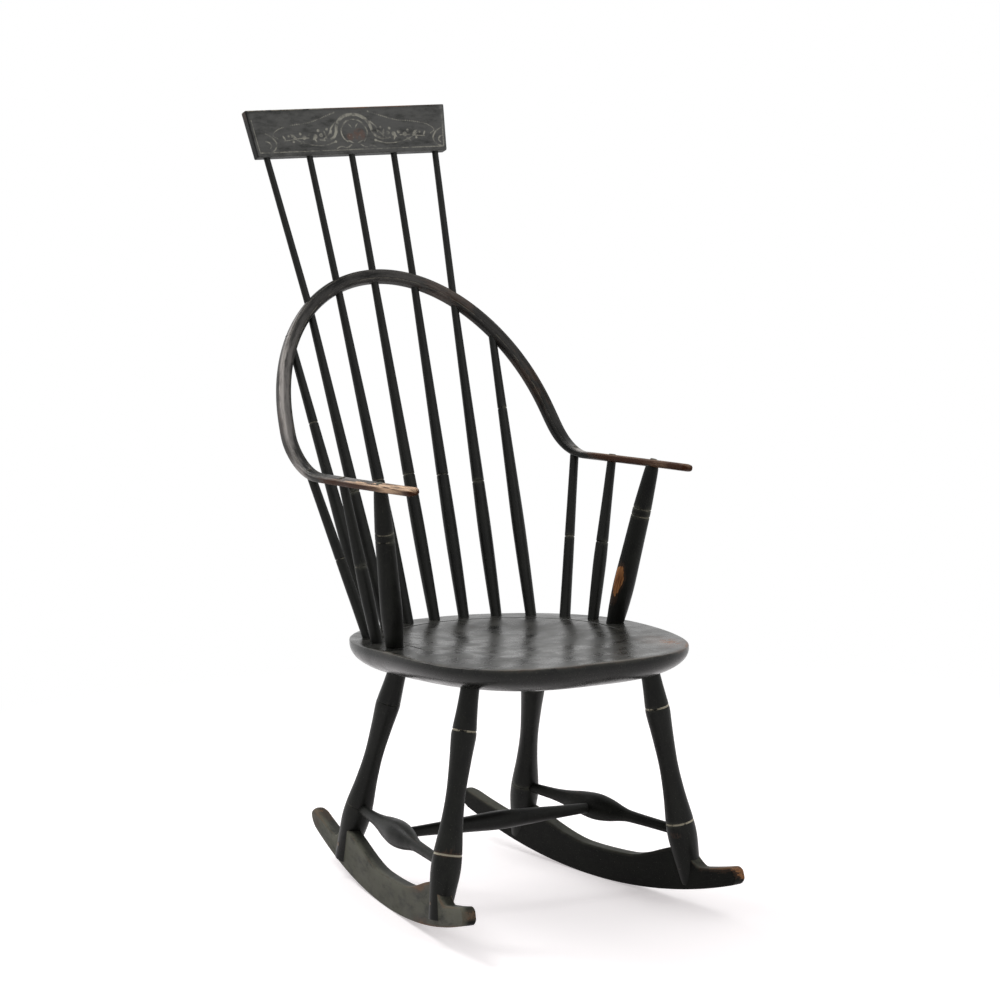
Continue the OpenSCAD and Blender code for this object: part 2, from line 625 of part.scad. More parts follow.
function cross_end(side) = bulge_point(side) + [side * cross_in, 0, 0];
module cross_stretcher() {
    len = norm(cross_end(1) - cross_end(-1));
    socket = cross_in + side_bulge_d / 2;
    color(paint) along(cross_end(1), cross_end(-1)) turned([[1, stretcher_end_d],
        [socket, stretcher_end_d], [0.2 * len, mix(stretcher_end_d, cross_bulge_d, 0.25)],
        [0.36 * len, mix(stretcher_end_d, cross_bulge_d, 0.7)], [0.5 * len, cross_bulge_d],
        [0.64 * len, mix(stretcher_end_d, cross_bulge_d, 0.7)],
        [0.8 * len, mix(stretcher_end_d, cross_bulge_d, 0.25)],
        [len - socket, stretcher_end_d], [len - 1, stretcher_end_d]]);
}

// Rockers.
// In the board's own plane the rolling edge is an arc of a circle whose centre stands over the
// balance point. Lengths along the board are stretched a little by its toe angle.
function along_board(y) = (y - balance_y) / cos(rocker_toe);
function edge_angle(y) = asin(along_board(y) / rocker_r);
function edge_z(y) = rocker_r * (1 - cos(edge_angle(y)));
front_toe = rocker_front - tip_r - front_foot_y;
rear_heel = rocker_back - tip_r - rear_foot_y;
// Depth of the board at y: full under each leg, less between them, least toward the ends
inner_run_front = 125;
inner_run_rear = 165;
outer_run = 42;
function swell(y, foot, inner) = let (inside = foot < 0 ? y > foot : y < foot)
    ease(1 - abs(y - foot) / (inside ? inner : outer_run));
function base_depth(y) = y < -front_foot_y ? mix(rocker_end_d, rocker_tip_d, (-y - front_foot_y) / front_toe)
    : y > rear_foot_y ? mix(rocker_end_d, rocker_tip_d, (y - rear_foot_y) / rear_heel) : rocker_mid_d;
function board_depth(y) = let (b = base_depth(y))
    b + (rocker_boss_d - b) * max(swell(y, -front_foot_y, inner_run_front),
        swell(y, rear_foot_y, inner_run_rear));
// Point of the board's profile at y, a given depth in from the rolling edge
function board_point(y, depth) = let (a = edge_angle(y))
    [(rocker_r - depth) * sin(a), rocker_r - (rocker_r - depth) * cos(a)];
tip_steps = 6;
board_steps = 64;
// Quarter turn round a corner of the board's end, between two directions measured from the edge
function corner(y, depth, from, to) = let (c = board_point(y, depth), tilt = edge_angle(y))
    [for (i = [0:tip_steps]) let (a = tilt + mix(from, to, i / tip_steps))
        c + tip_r * [cos(a), sin(a)]];
module board_profile(more = 0) {
    a = tip_r - rocker_front;
    b = rocker_back - tip_r;
    heel = concat(corner(b, rocker_tip_d - tip_r, 90, 0), corner(b, tip_r, 0, -90));
    tip = concat(corner(a, tip_r, 270, 180), corner(a, rocker_tip_d - tip_r, 180, 90));
    intersection() {
        polygon(concat(
            [for (i = [1:board_steps - 1]) let (y = mix(a, b, i / board_steps))
                board_point(y, board_depth(y) + more)],
            heel, [[heel[len(heel) - 1].x, -rocker_t], [tip[len(tip) - 1].x, -rocker_t]], tip));
        translate([0, rocker_r]) circle(r = rocker_r, $fn = 720);
    }
}
// Board of a rocker; more widens it on every side, for the slots in the legs
module rocker_board(side, more = 0) {
    translate([side * rocker_line_x(balance_y), balance_y, 0]) rotate([90, 0, 90 + side * rocker_toe])
        linear_extrude(height = rocker_t + 2 * more, center = true) board_profile(more);
}
module rocker(side) {
    color(paint) difference() {
        rocker_board(side);
        for (p = peg_places(side)) peg(p, side, play);
    }
}

// Pegs: one through each foot, square to the board, trimmed flush with the cheeks
peg_up = 34;
function peg_places(side) = [for (y = [-front_foot_y, rear_foot_y])
    leg_at_floor_h(y < 0 ? front_leg(side) : rear_leg(side), edge_z(y) + peg_up)];
peg_len = leg_foot_d + 5;
module peg(p, side, more = 0) {
    translate(p) rotate([0, 90, side * rocker_toe])
        cylinder(h = peg_len + (more > 0 ? over : 0), d = peg_d + 2 * more, center = true);
}

module rocker_pegs() color(bare_wood) for (s = [-1, 1], p = peg_places(s)) peg(p, s);

module tenon_wedges() color(bare_wood) for (s = [-1, 1]) {
    wedge(short_line(s), short_proud, 0);
    wedge(arm_spindle_line(s, rear_arm_angle, rear_arm_top), arm_proud, 0);
    wedge(arm_spindle_line(s, front_arm_angle, front_arm_top), arm_proud, 0);
    wedge(arm_post_line(s), arm_proud, 0);
}

module crest_pins() color(bare_wood) for (i = [0:4]) crest_pin(i);

centred() seat_body();  // seat
centred() on_seat() bow();
centred() on_seat() crest();
centred() on_seat() comb_spindle(0);  // comb_spindle_1
centred() on_seat() comb_spindle(1);  // comb_spindle_2
centred() on_seat() comb_spindle(2);  // comb_spindle_3
centred() on_seat() comb_spindle(3);  // comb_spindle_4
centred() on_seat() comb_spindle(4);  // comb_spindle_5
centred() on_seat() back_spindle(1);  // back_spindle_left
centred() on_seat() back_spindle(-1);  // back_spindle_right
centred() on_seat() arm_spindle(1, rear_arm_angle, rear_arm_top, rear_arm_belly);  // arm_spindle_rear_left
centred() on_seat() arm_spindle(-1, rear_arm_angle, rear_arm_top, rear_arm_belly);  // arm_spindle_rear_right
centred() on_seat() arm_spindle(1, front_arm_angle, front_arm_top, front_arm_belly);  // arm_spindle_front_left
centred() on_seat() arm_spindle(-1, front_arm_angle, front_arm_top, front_arm_belly);  // arm_spindle_front_right
centred() on_seat() arm_post(1);  // arm_post_left
centred() on_seat() arm_post(-1);  // arm_post_right
centred() leg(front_leg(1), 1);  // leg_front_left
centred() leg(front_leg(-1), -1);  // leg_front_right
centred() leg(rear_leg(1), 1);  // leg_rear_left
centred() leg(rear_leg(-1), -1);  // leg_rear_right
centred() side_stretcher(1);  // side_stretcher_left
centred() side_stretcher(-1);  // side_stretcher_right
centred() cross_stretcher();
centred() rocker(1);  // rocker_left
centred() rocker(-1);  // rocker_right
centred() rocker_pegs();
centred() on_seat() tenon_wedges();
centred() on_seat() crest_pins();
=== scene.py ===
# %% [markdown]
# # A comb back rocking chair
# An old American Windsor rocker in worn black paint. A shaped plank seat carries everything:
# legs below, posts and spindles above. One bent bow is both the back hoop and the arms, and
# five long spindles pass through it up to a crest board with a faded gold stencil.
#
# The solids that were drawn in CAD come in first, at their real size. Every larger piece is
# then built again here with finer edges and carries the paint, and stands for its solid.

# %% Bring in the chair's solids
import bpy
import numpy as np
from math import radians, sin, cos, tan, asin, acos, pi
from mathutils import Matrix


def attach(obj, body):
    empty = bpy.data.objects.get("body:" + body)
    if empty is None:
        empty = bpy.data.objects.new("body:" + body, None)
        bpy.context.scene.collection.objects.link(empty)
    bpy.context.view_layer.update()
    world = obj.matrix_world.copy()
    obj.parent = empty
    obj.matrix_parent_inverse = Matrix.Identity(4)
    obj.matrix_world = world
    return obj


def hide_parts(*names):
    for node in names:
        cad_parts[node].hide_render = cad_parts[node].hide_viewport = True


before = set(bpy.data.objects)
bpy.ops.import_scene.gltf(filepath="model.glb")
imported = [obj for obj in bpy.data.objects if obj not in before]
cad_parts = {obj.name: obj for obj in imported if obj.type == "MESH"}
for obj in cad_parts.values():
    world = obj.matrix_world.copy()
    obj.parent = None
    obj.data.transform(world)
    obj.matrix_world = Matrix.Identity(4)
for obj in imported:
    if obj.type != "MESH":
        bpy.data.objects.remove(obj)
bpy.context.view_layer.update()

# %% [markdown]
# ## Where things stand
# A chair maker works from the seat: every socket is bored at an angle to the seat's deck.
# So sizes here are in millimetres from a point on the deck, at the seat's widest line, with
# x to the sitter's left, y to the back and z square to the deck. The seat slopes back a
# little, and `stand` carries such a point to the floor's own frame.

# %% The seat's frame
SEAT_TILT = radians(3.75)    # the deck falls toward the back by this much
DECK_H = 384.5               # height of that point over the floor
MIDDLE_Y = 90.83             # sets the middle of the chair, front to back, over the floor's zero


def stand(p):
    """Points of the seat's frame, in mm, as points over the floor, still in mm."""
    p = np.asarray(p, float)
    x, y, z = p[..., 0], p[..., 1], p[..., 2]
    return np.stack([x, y * cos(SEAT_TILT) + z * sin(SEAT_TILT) - MIDDLE_Y,
                     z * cos(SEAT_TILT) - y * sin(SEAT_TILT) + DECK_H], -1)


def unit(v):
    """The same direction, 1 long."""
    v = np.asarray(v, float)
    return v / np.linalg.norm(v, axis=-1, keepdims=True)


def ease(t):
    """0 to 1 with level ends."""
    t = np.clip(t, 0, 1)
    return t * t * (3 - 2 * t)


def near(value, centre, reach):
    """1 at the centre, about a third at reach from it, and next to nothing at twice that."""
    return np.exp(-((np.asarray(value, float) - centre) / reach) ** 2)


print("a point on the deck stands at", stand([0, 0, 0]).round(1))

# %% [markdown]
# ## One way to make a skin
# Turned, bent and sawn wood can all be described by rings of points laid one after another
# along the piece. Joining the rings gives a closed skin of four-sided faces, which shade
# smoothly. A subdivision surface would also do, but rings put points exactly where a scored
# line or an eased edge needs them.
#
# Each point also remembers a few facts for the paint: `grain`, its place in the wood with z
# along the fibres, `line`, its distance from a scored line in mm, `wear`, the dust fact, which on
# the bow, the crest and one rocker also lays on painted highlights and sheen, and where a piece
# needs it `deep`, which is how dark its bare wood has gone.

# %% Faces over rings
def ring_faces(rows, around):
    """Four-sided faces between rings, and a fan of triangles to the middle of each end."""
    j = np.arange(around)
    k = np.arange(rows - 1)[:, None] * around
    after = (j + 1) % around
    quads = np.stack([k + j, k + after, k + around + after, k + around + j], -1).reshape(-1, 4)
    first, last, tip = rows * around, rows * around + 1, (rows - 1) * around
    fans = [(first, b, a) for a, b in zip(j.tolist(), after.tolist())]
    fans += [(last, tip + a, tip + b) for a, b in zip(j.tolist(), after.tolist())]
    return quads, fans


def turned_in(points, quads):
    """Whether faces look inward, told from the sign of the volume that they enclose."""
    a, b, c, d = (points[quads[:, i]] for i in range(4))
    volume = np.einsum("ij,ij->i", a, np.cross(b, c)) + np.einsum("ij,ij->i", a, np.cross(c, d))
    return volume.sum() < 0


def note(mesh, shape, fact, values, kind="FLOAT"):
    """Writes a fact to every point; the two end points get the mean of their ring."""
    width = 3 if kind == "FLOAT_VECTOR" else 1
    full = np.broadcast_to(np.asarray(values, float), shape + (3,) * (width > 1))
    flat = full.reshape(-1, width)
    flat = np.concatenate([flat, full[0].reshape(shape[1], width).mean(0)[None],
                           full[-1].reshape(shape[1], width).mean(0)[None]])
    mesh.attributes.new(fact, kind, "POINT").data.foreach_set(
        "vector" if width > 1 else "value", flat.astype(np.float32).ravel())


print("two rings of four points make", sum(map(len, ring_faces(2, 4))), "faces")

# %% The skin maker
MM = 0.001
made = []


def skin(name, rings, node, grain, line=None, wear=0.0, dust_and_sheen=0.0, more=None):
    """A closed skin over rings of points in mm over the floor, standing for a CAD solid."""
    rings = np.asarray(rings, float)
    shape = rings.shape[:2]
    ends = np.stack([rings[0].mean(0), rings[-1].mean(0)])
    points = np.concatenate([rings.reshape(-1, 3), ends]) * MM
    quads, fans = ring_faces(*shape)
    faces = quads.tolist() + fans
    if turned_in(points, quads):
        faces = [tuple(reversed(f)) for f in faces]
    mesh = bpy.data.meshes.new(name)
    mesh.from_pydata(points.tolist(), [], faces)
    mesh.polygons.foreach_set("use_smooth", [True] * len(mesh.polygons))
    note(mesh, shape, "grain", np.asarray(grain) * MM, "FLOAT_VECTOR")
    note(mesh, shape, "line", 99.0 if line is None else line)
    note(mesh, shape, "wear", wear)
    note(mesh, shape, "dust_and_sheen", dust_and_sheen)
    for fact_name, values in (more or {}).items():
        note(mesh, shape, fact_name, values)
    piece = bpy.data.objects.new(name, mesh)
    bpy.context.scene.collection.objects.link(piece)
    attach(piece, "root")
    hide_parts(node)
    made.append(piece)
    return piece


print("skins made so far:", len(made))

# %% [markdown]
# ## Wires for the finishes
# A finish is a small web of nodes. These helpers keep the web readable: `plug` adds a node
# and joins its inputs, `step` makes a soft step out of a value, `sums` does arithmetic and
# `blend` mixes two colours.

# %% Node helpers
def plug(tree, kind, inputs=None, **settings):
    """Adds a node. An input is either another node's socket or a plain value."""
    n = tree.nodes.new(kind)
    for key, value in settings.items():
        setattr(n, key, value)
    for key, value in (inputs or {}).items():
        if isinstance(value, bpy.types.NodeSocket):
            tree.links.new(value, n.inputs[key])
        else:
            n.inputs[key].default_value = value
    return n


def step(tree, value, low, high):
    """0 below low and 1 above high, smooth between; low may be the larger one."""
    n = plug(tree, "ShaderNodeMapRange", {"Value": value, "From Min": low, "From Max": high},
             interpolation_type="SMOOTHSTEP")
    return n.outputs["Result"]


def sums(tree, how, a, b):
    """a and b taken together as the Math node does: ADD, MULTIPLY, SUBTRACT or MAXIMUM."""
    return plug(tree, "ShaderNodeMath", {0: a, 1: b}, operation=how).outputs[0]


def blend(tree, share, a, b):
    """Colour a where share is 0, and b where it is 1."""
    n = tree.nodes.new("ShaderNodeMix")
    n.data_type = "RGBA"
    for place, value in ((0, share), (6, a), (7, b)):
        if isinstance(value, bpy.types.NodeSocket):
            tree.links.new(value, n.inputs[place])
        else:
            n.inputs[place].default_value = value
    return n.outputs[2]


def fresh_finish(name):
    """A new material with an empty web."""
    finish = bpy.data.materials.new(name)
    finish.use_nodes = True
    finish.node_tree.nodes.clear()
    return finish, finish.node_tree


print("helpers ready:", ", ".join(f.__name__ for f in (plug, step, sums, blend, fresh_finish)))

# %% [markdown]
# ## Old black paint
# The chair was painted black long ago. The paint lies thin over open grained wood, it has
# dulled to a soft satin, and hands and shoes have rubbed it away along the edges, first to a
# brown film and then to bare orange wood. Dust has turned some low faces grey green.
#
# One finish does all of this from the facts that each point carries. Noise stretched along
# the fibres breaks up every border, so no wear follows a drawn line. Image textures could do
# it too, but each piece would have to be unwrapped, and the grain would stop at the seams.

# %% Its colours
BLACK_DEEP = (0.0050, 0.0052, 0.0050, 1)
BLACK_GREEN = (0.0100, 0.0106, 0.0094, 1)
BLACK_GREY = (0.0260, 0.0270, 0.0255, 1)
BROWN_FILM = (0.048, 0.028, 0.019, 1)
WOOD_DARK = (0.170, 0.060, 0.020, 1)
WOOD_LIGHT = (0.520, 0.230, 0.085, 1)
RUBBED_BROWN = (0.105, 0.060, 0.039, 1)
DUST = (0.105, 0.106, 0.085, 1)
# dust on the rockers, and the painted reflection along one rocker's top edge
ROCKER_DUST_AND_SHEEN = (0.130, 0.130, 0.103, 1)
GILT = (0.430, 0.395, 0.305, 1)

print("the greyest paint is", round(BLACK_GREY[0] / BLACK_DEEP[0], 1), "times as light as the blackest")


# %% Facts and noises
def fact(tree, which, vector=False):
    """A fact that the skin's points carry."""
    n = plug(tree, "ShaderNodeAttribute", attribute_name=which)
    return n.outputs["Vector" if vector else "Fac"]


def noise(tree, scale, detail=4.0, rough=0.55, stretch=1.0):
    """Noise in the wood's own coordinates; below 1, stretch draws it out along the fibres."""
    place = plug(tree, "ShaderNodeVectorMath", {0: fact(tree, "grain", True), 1: (1, 1, stretch)},
                 operation="MULTIPLY").outputs[0]
    n = plug(tree, "ShaderNodeTexNoise", {"Vector": place, "Scale": scale, "Detail": detail,
                                          "Roughness": rough})
    return n.outputs["Fac"]


def times(tree, a, b):
    return sums(tree, "MULTIPLY", a, b)


def plus(tree, a, b):
    return sums(tree, "ADD", a, b)


def sway(tree, value, much):
    """A noise as a push up or down, by half of much at most."""
    return times(tree, sums(tree, "SUBTRACT", value, 0.5), much)


print("facts for the paint: grain, line, wear, dust, deep")


# %% Layers of the paint
def paint_film(tree, cloud, streak):
    """Black, a little green in clouds and grey along some streaks."""
    film = blend(tree, step(tree, cloud, 0.35, 0.68), BLACK_DEEP, BLACK_GREEN)
    return blend(tree, times(tree, step(tree, streak, 0.56, 0.78), 0.5), film, BLACK_GREY)


def rubbing(tree, cloud, streak):
    """How much a place is rubbed: the wear that its point carries, broken up by three noises."""
    rub = plus(tree, fact(tree, "wear"), sway(tree, cloud, 0.55))
    rub = plus(tree, rub, sway(tree, streak, 0.5))
    return plus(tree, rub, sway(tree, noise(tree, 170, 4, 0.65, 0.45), 0.6))


def bare_timber(tree, streak, fibre, dark, light):
    """The wood under the paint: dark and light in streaks, and all dark where it is deep."""
    timber = blend(tree, step(tree, streak, 0.34, 0.60), dark, light)
    timber = blend(tree, times(tree, step(tree, fibre, 0.56, 0.7), 0.45), timber, dark)
    return blend(tree, fact(tree, "deep"), timber, dark)


def gold_in_lines(tree, gilt, gold_reach):
    """What is left of the gold: it stays longest in the scored lines, in stretches."""
    in_line = step(tree, fact(tree, "line"), gold_reach, gold_reach - 0.6)
    stretches = step(tree, noise(tree, 75, 3, 0.6), 0.45 - 0.08 * gilt, 0.60 - 0.08 * gilt)
    return times(tree, in_line, times(tree, stretches, gilt))


def roughness(tree, cloud, bare, dust_and_sheen_cover, polish):
    """Bare wood and dust are rougher than the paint."""
    rough = plug(tree, "ShaderNodeMapRange", {"Value": cloud, "From Min": 0.3, "From Max": 0.7,
                                              "To Min": 0.31 - polish, "To Max": 0.50 - polish})
    rough = plus(tree, rough.outputs["Result"], times(tree, bare, 0.14))
    return plus(tree, rough, times(tree, dust_and_sheen_cover, 0.2))


def grain_relief(tree, fibre, streak, bare, relief):
    """The grain stands up in all of it, and bare wood lies lower than the paint."""
    height = plus(tree, times(tree, fibre, 0.35), times(tree, streak, 0.45))
    height = sums(tree, "SUBTRACT", height, times(tree, bare, 0.5))
    height = plus(tree, height, times(tree, noise(tree, 110, 3, 0.5), 0.5))
    bump = plug(tree, "ShaderNodeBump", {"Height": height, "Strength": relief, "Distance": 0.0006})
    return bump.outputs[0]


print("layers: film, rubbing, timber, dust, gold")


# %% The black paint
def old_paint(name, polish=0.0, gilt=0.3, shine=0.16, drawn=False, dust_and_sheen=DUST,
              wood=(WOOD_DARK, WOOD_LIGHT), relief=0.35, cover=(0.28, 0.62), specks=0.45,
              grain_stretch=0.4, gold_reach=1.15):
    """Worn black paint.

    polish: how much smoother it is than dull paint.
    gilt: how much of the gold is left in the scored lines.
    shine: how strongly it reflects.
    drawn: whether the gold drawing goes on it.
    dust, wood: the colour of what lies on it, grey dust and on some pieces a painted highlight, and the dark
    and light colour of what is under it.
    relief: how strongly the grain shows.
    cover: the span of the noise over which the dust goes from nothing to all.
    specks: how strongly the small specks of dust show.
    grain_stretch: below 1 the patches of dust are drawn out along the fibres.
    gold_reach: how far from the middle of a scored line gold can be found, in mm.
    """
    finish, tree = fresh_finish(name)
    fibre = noise(tree, 1400, 3, 0.6, 0.05)
    streak = noise(tree, 420, 4, 0.6, 0.07)
    cloud = noise(tree, 28, 5, 0.6)
    speck = noise(tree, 650, 2, 0.5)

    # rubbing thins the film to brown, and then bares the wood
    rub = rubbing(tree, cloud, streak)
    thin = step(tree, rub, 0.34, 0.52)
    bare = step(tree, rub, 0.66, 0.74)
    colour = blend(tree, times(tree, thin, 0.8), paint_film(tree, cloud, streak), BROWN_FILM)
    colour = blend(tree, bare, colour, bare_timber(tree, streak, fibre, *wood))

    # dust lies over both, in patches and in specks; on some pieces the same layer also carries painted
    # highlights
    dust_and_sheen_cover = times(tree, fact(tree, "dust_and_sheen"), step(tree, noise(tree, 60, 5, 0.7, grain_stretch), *cover))
    colour = blend(tree, dust_and_sheen_cover, colour, dust_and_sheen)
    colour = blend(tree, times(tree, step(tree, speck, 0.66, 0.74), specks), colour, dust_and_sheen)
    colour = blend(tree, gold_in_lines(tree, gilt, gold_reach), colour, GILT)
    if drawn:
        colour = stencil_on(tree, colour)

    rough = roughness(tree, cloud, bare, dust_and_sheen_cover, polish)
    bump = grain_relief(tree, fibre, streak, bare, relief)
    coat = plug(tree, "ShaderNodeBsdfPrincipled", {"Base Color": colour, "Roughness": rough, "Normal": bump})
    coat.inputs["Specular IOR Level"].default_value = shine
    plug(tree, "ShaderNodeOutputMaterial", {"Surface": coat.outputs[0]})
    return finish


# %% [markdown]
# ## The gold drawing
# The crest board carries a stencil in bronze powder, rubbed until it is hardly there. Its
# drawing is kept as two facts of each point, the distance in mm from the nearest gold stroke
# and from the rosy fruit in the middle. A distance is cut off to a sharp edge in the finish,
# where a colour kept at each point would blur from one point to the next.

# %% The stencil's finish
ROSE = (0.165, 0.100, 0.080, 1)
OLD_GOLD = (0.430, 0.415, 0.350, 1)


def stencil_on(tree, colour):
    """The gold drawing over a colour, with ragged edges and rubbed away in clouds."""
    ragged = plus(tree, fact(tree, "gold"), sway(tree, noise(tree, 500, 3), 1.6))
    stroke = step(tree, ragged, 0.75, -0.55)
    left = step(tree, noise(tree, 70, 5, 0.6), 0.32, 0.62)
    stroke = times(tree, stroke, times(tree, left, 0.9))
    inside = step(tree, fact(tree, "rose"), 1.5, -3.0)
    fruit = times(tree, inside, step(tree, noise(tree, 160, 4), 0.3, 0.6))
    colour = blend(tree, times(tree, fruit, 0.7), colour, ROSE)
    return blend(tree, stroke, colour, OLD_GOLD)


print("colours of the drawing:", ROSE[:3], OLD_GOLD[:3])

# %% [markdown]
# ## One paint, several states
# All pieces have the same paint, and each has aged in its own way. The front legs have kept
# the gold in their rings. The posts and rockers are duller, the rockers also dusty, and rubbed
# down to brown where shoes met them. The seat, the bow and the crest board get a state of
# their own further down.

# %% The finishes of the turned pieces and rockers
paint = old_paint("black_paint_on_turned_wood")
post_paint = old_paint("black_paint_on_posts", gilt=0.4, shine=0.10)
leg_paint = old_paint("black_paint_with_gold_rings", gilt=1.3, shine=0.14, gold_reach=1.6)
back_leg_paint = old_paint("black_paint_on_back_legs", gilt=0.1, shine=0.15)
rocker_paint = old_paint("black_paint_on_rockers_with_painted_sheen", gilt=0.1, shine=0.04, dust_and_sheen=ROCKER_DUST_AND_SHEEN,
                         wood=(RUBBED_BROWN, WOOD_LIGHT), cover=(0.18, 0.56))
print("finish:", paint.name, "nodes:", len(paint.node_tree.nodes))

# %% [markdown]
# ## The seat
# The seat is one thick plank, hollowed where the sitter sits, rounded away underneath so that
# it looks thin. A line is scored in front of the spindles to set off their strip of wood.
# It could be modelled by sculpting, but its outline is two half superellipses that meet at
# the widest line, so rings that run inward from that outline give the same shape exactly.
#
# A superellipse is an oval whose exponent makes it squarer: 2 is a plain oval, and each step
# up from there fills the corners more. The front half is squarer than the back.

# %% The seat's outline
SEAT_W = 430.0          # across the widest line
SEAT_FRONT = 298.0      # from the widest line to the front edge
SEAT_BACK = 227.0       # from the widest line to the back edge
SEAT_T = 47.0           # thickness of the plank
LINE_AT = 0.745         # the scored line, as a share of the way out to the edge
LINE_FRONT_Y = -95      # where that line fades out at its two ends
UNDERCUT = 68           # how far the rounded underside runs in at the sides and back
UNDERCUT_FRONT = 43     # and at the front


def power(base, n):
    """base to the power n, with anything below 0 taken as 0."""
    return np.power(np.maximum(base, 0), n)


def oval(angle, half_width, depth_back, depth_front, back_n=2.0, front_n=3.1):
    """Point of the seat's outline at an angle from straight behind."""
    s, c = np.sin(angle), np.cos(angle)
    n = np.where(c >= 0, back_n, front_n)
    depth = np.where(c >= 0, depth_back, depth_front)
    return (half_width * power(abs(s), 2 / n) * np.sign(s), depth * power(abs(c), 2 / n) * np.sign(c))


def seat_fall(y):
    """The deck rolls down toward the front edge."""
    return 9.0 * ease(-y / SEAT_FRONT)


def seat_hollow(share):
    """The saddle starts at the scored line."""
    return 9.0 * ease((LINE_AT - share) / 0.5)


def from_line(share):
    """Distance from the scored line, in mm, at the seat's sides."""
    return (share - LINE_AT) * (SEAT_W / 2)


def line_strength(y):
    """1 where the line is cut to its full depth, 0 in front of its two ends."""
    return ease((y - LINE_FRONT_Y) / 60)


print("the deck's saddle is", float(seat_hollow(0)), "mm deep")


# %% The seat's skin
def seat_ring(share, drop=0.0):
    """Points of the deck at a share of the way out to the edge."""
    x, y = oval(rays, SEAT_W / 2, SEAT_BACK, SEAT_FRONT)
    x, y = x * share, y * share
    cut = 1.6 * near(from_line(share), 0, 1.3) * line_strength(y)
    return np.stack([x, y, -seat_fall(y) - seat_hollow(share) - drop - cut], -1)


def seat_under(t):
    """Points of the rounded underside: t is 0 at the edge and 1 where it is flat."""
    inward = 1 - power(cos(pi / 2 * t), 1.25)
    x, y = oval(rays, SEAT_W / 2 - UNDERCUT * inward, SEAT_BACK - UNDERCUT * inward,
                SEAT_FRONT - UNDERCUT_FRONT * inward)
    share = power(sin(pi / 2 * t), 0.9)
    return np.stack([x, y, (1 - share) * (-seat_fall(y) - 5) - share * SEAT_T], -1)


rays = (np.arange(360) + 0.5) * pi / 180
shares = np.unique(np.concatenate([np.linspace(0.02, 0.96, 48), LINE_AT + np.linspace(-0.02, 0.02, 17)]))
brim = [(0.97, 0.05), (0.98, 0.2), (0.988, 0.45), (0.994, 0.8), (0.998, 1.25), (0.9995, 1.9), (1.0, 2.6)]
under_rings = [seat_under(t) for t in np.linspace(0.02, 1, 26)]
under_rings += [seat_under(1.0) * (k, k, 1) for k in (0.8, 0.5, 0.2)]
seat_rings = np.array([seat_ring(s) for s in shares] + [seat_ring(s, d) for s, d in brim] + under_rings)
print("rings of the seat:", len(seat_rings))

# %% [markdown]
# A seat shows how a chair was used. Clothes have dulled the middle of the deck, knees and
# hands have rubbed the front edge, and a few places along it were knocked down to the wood.
# The facts `wear` and `dust_and_sheen` are added up here from soft spots, each in mm on the deck.

# %% Where the seat is worn
SEAT_SCUFF = (0.160, 0.152, 0.130, 1)

share_of = np.concatenate([shares, [s for s, d in brim], np.full(len(under_rings), 2.0)])[:, None]
seat_x, seat_y = seat_rings[..., 0], seat_rings[..., 1]
front = np.cos(rays)[None, :] < 0
front_middle = near(seat_x, -10, 150) * front
seat_wear = 0.10 + 0.34 * near(share_of, 0.992, 0.012) * (0.45 + 0.75 * front_middle)
seat_wear = seat_wear + 0.16 * near(share_of, 0.5, 0.3)
seat_wear = seat_wear + 0.1 * near(share_of, 0.9, 0.1) * front
seat_dust = np.where(share_of < 1.0, 0.14, 0.03) + 0.25 * near(share_of, 0.99, 0.01) * front

# knocks along the edge: x, y, reach and how much
knocks = [(-108, -270, 30, 0.9), (-205, -60, 20, 0.7), (-190, -140, 34, 0.4), (40, -296, 50, 0.4)]
for knock_x, knock_y, reach, much in knocks:
    spot = near(np.hypot(seat_x - knock_x, seat_y - knock_y), 0, reach) * near(share_of, 0.988, 0.010)
    seat_wear = seat_wear + 0.25 * much * spot
    seat_dust = seat_dust + much * spot

# the front corner on the sitter's left is rubbed to the wood
corner_rub = near(seat_x, 160, 32) * near(seat_y, -205, 55) * (share_of < 1.1)
seat_wear = seat_wear + 0.52 * corner_rub
print("the most worn point of the seat has", round(float(seat_wear.max()), 2))

# %% The seat in its paint
seat_line = np.where(line_strength(seat_y) > 0.2, abs(from_line(share_of)) + 0.5, 99)
seat = skin("plank_seat", stand(seat_rings), "seat", seat_rings[..., [1, 2, 0]], line=seat_line,
            wear=seat_wear, dust_and_sheen=np.clip(seat_dust, 0, 0.95), more={"deep": 0.85})
seat.data.materials.append(old_paint("black_paint_on_seat", polish=0.13, gilt=0.2, shine=0.22,
                                     dust_and_sheen=SEAT_SCUFF, relief=0.22))
print("seat points:", len(seat.data.vertices))

# %% [markdown]
# ## Lines of the spindles and the bow
# Every spindle is a straight line between a foot on the seat and a hole in the bow. The hoop
# is half of an ellipse in a leaning plane; at each end it bends through an arc, the elbow,
# into an arm. These few functions place all of them, exactly as the CAD solids have them.

# %% The bow's middle line
BACK_LEAN = radians(17.1)     # of the long spindles, from upright
HOOP_LEAN = radians(32.0)     # of the hoop's plane
HOOP_HALF = 222.5             # half the hoop's width, to the middle of the stick
HOOP_BASE = 262.0             # height of the ellipse's centre over the deck
HOOP_RISE = 245.0             # from there to the top
ARM_H = 235.0                 # height of the arms over the deck
ELBOW_R = 120.0
ARM_REACH = 172.0             # from the widest line forward to the tip of the arm
ARM_SWELL = 2                 # how far the arm stands out at half its length
SPINDLES_OUT = SEAT_W / 2 - 32       # the spindles' feet stand this far out at the sides
SPINDLES_BACK = SEAT_BACK - 31.5     # and this far back

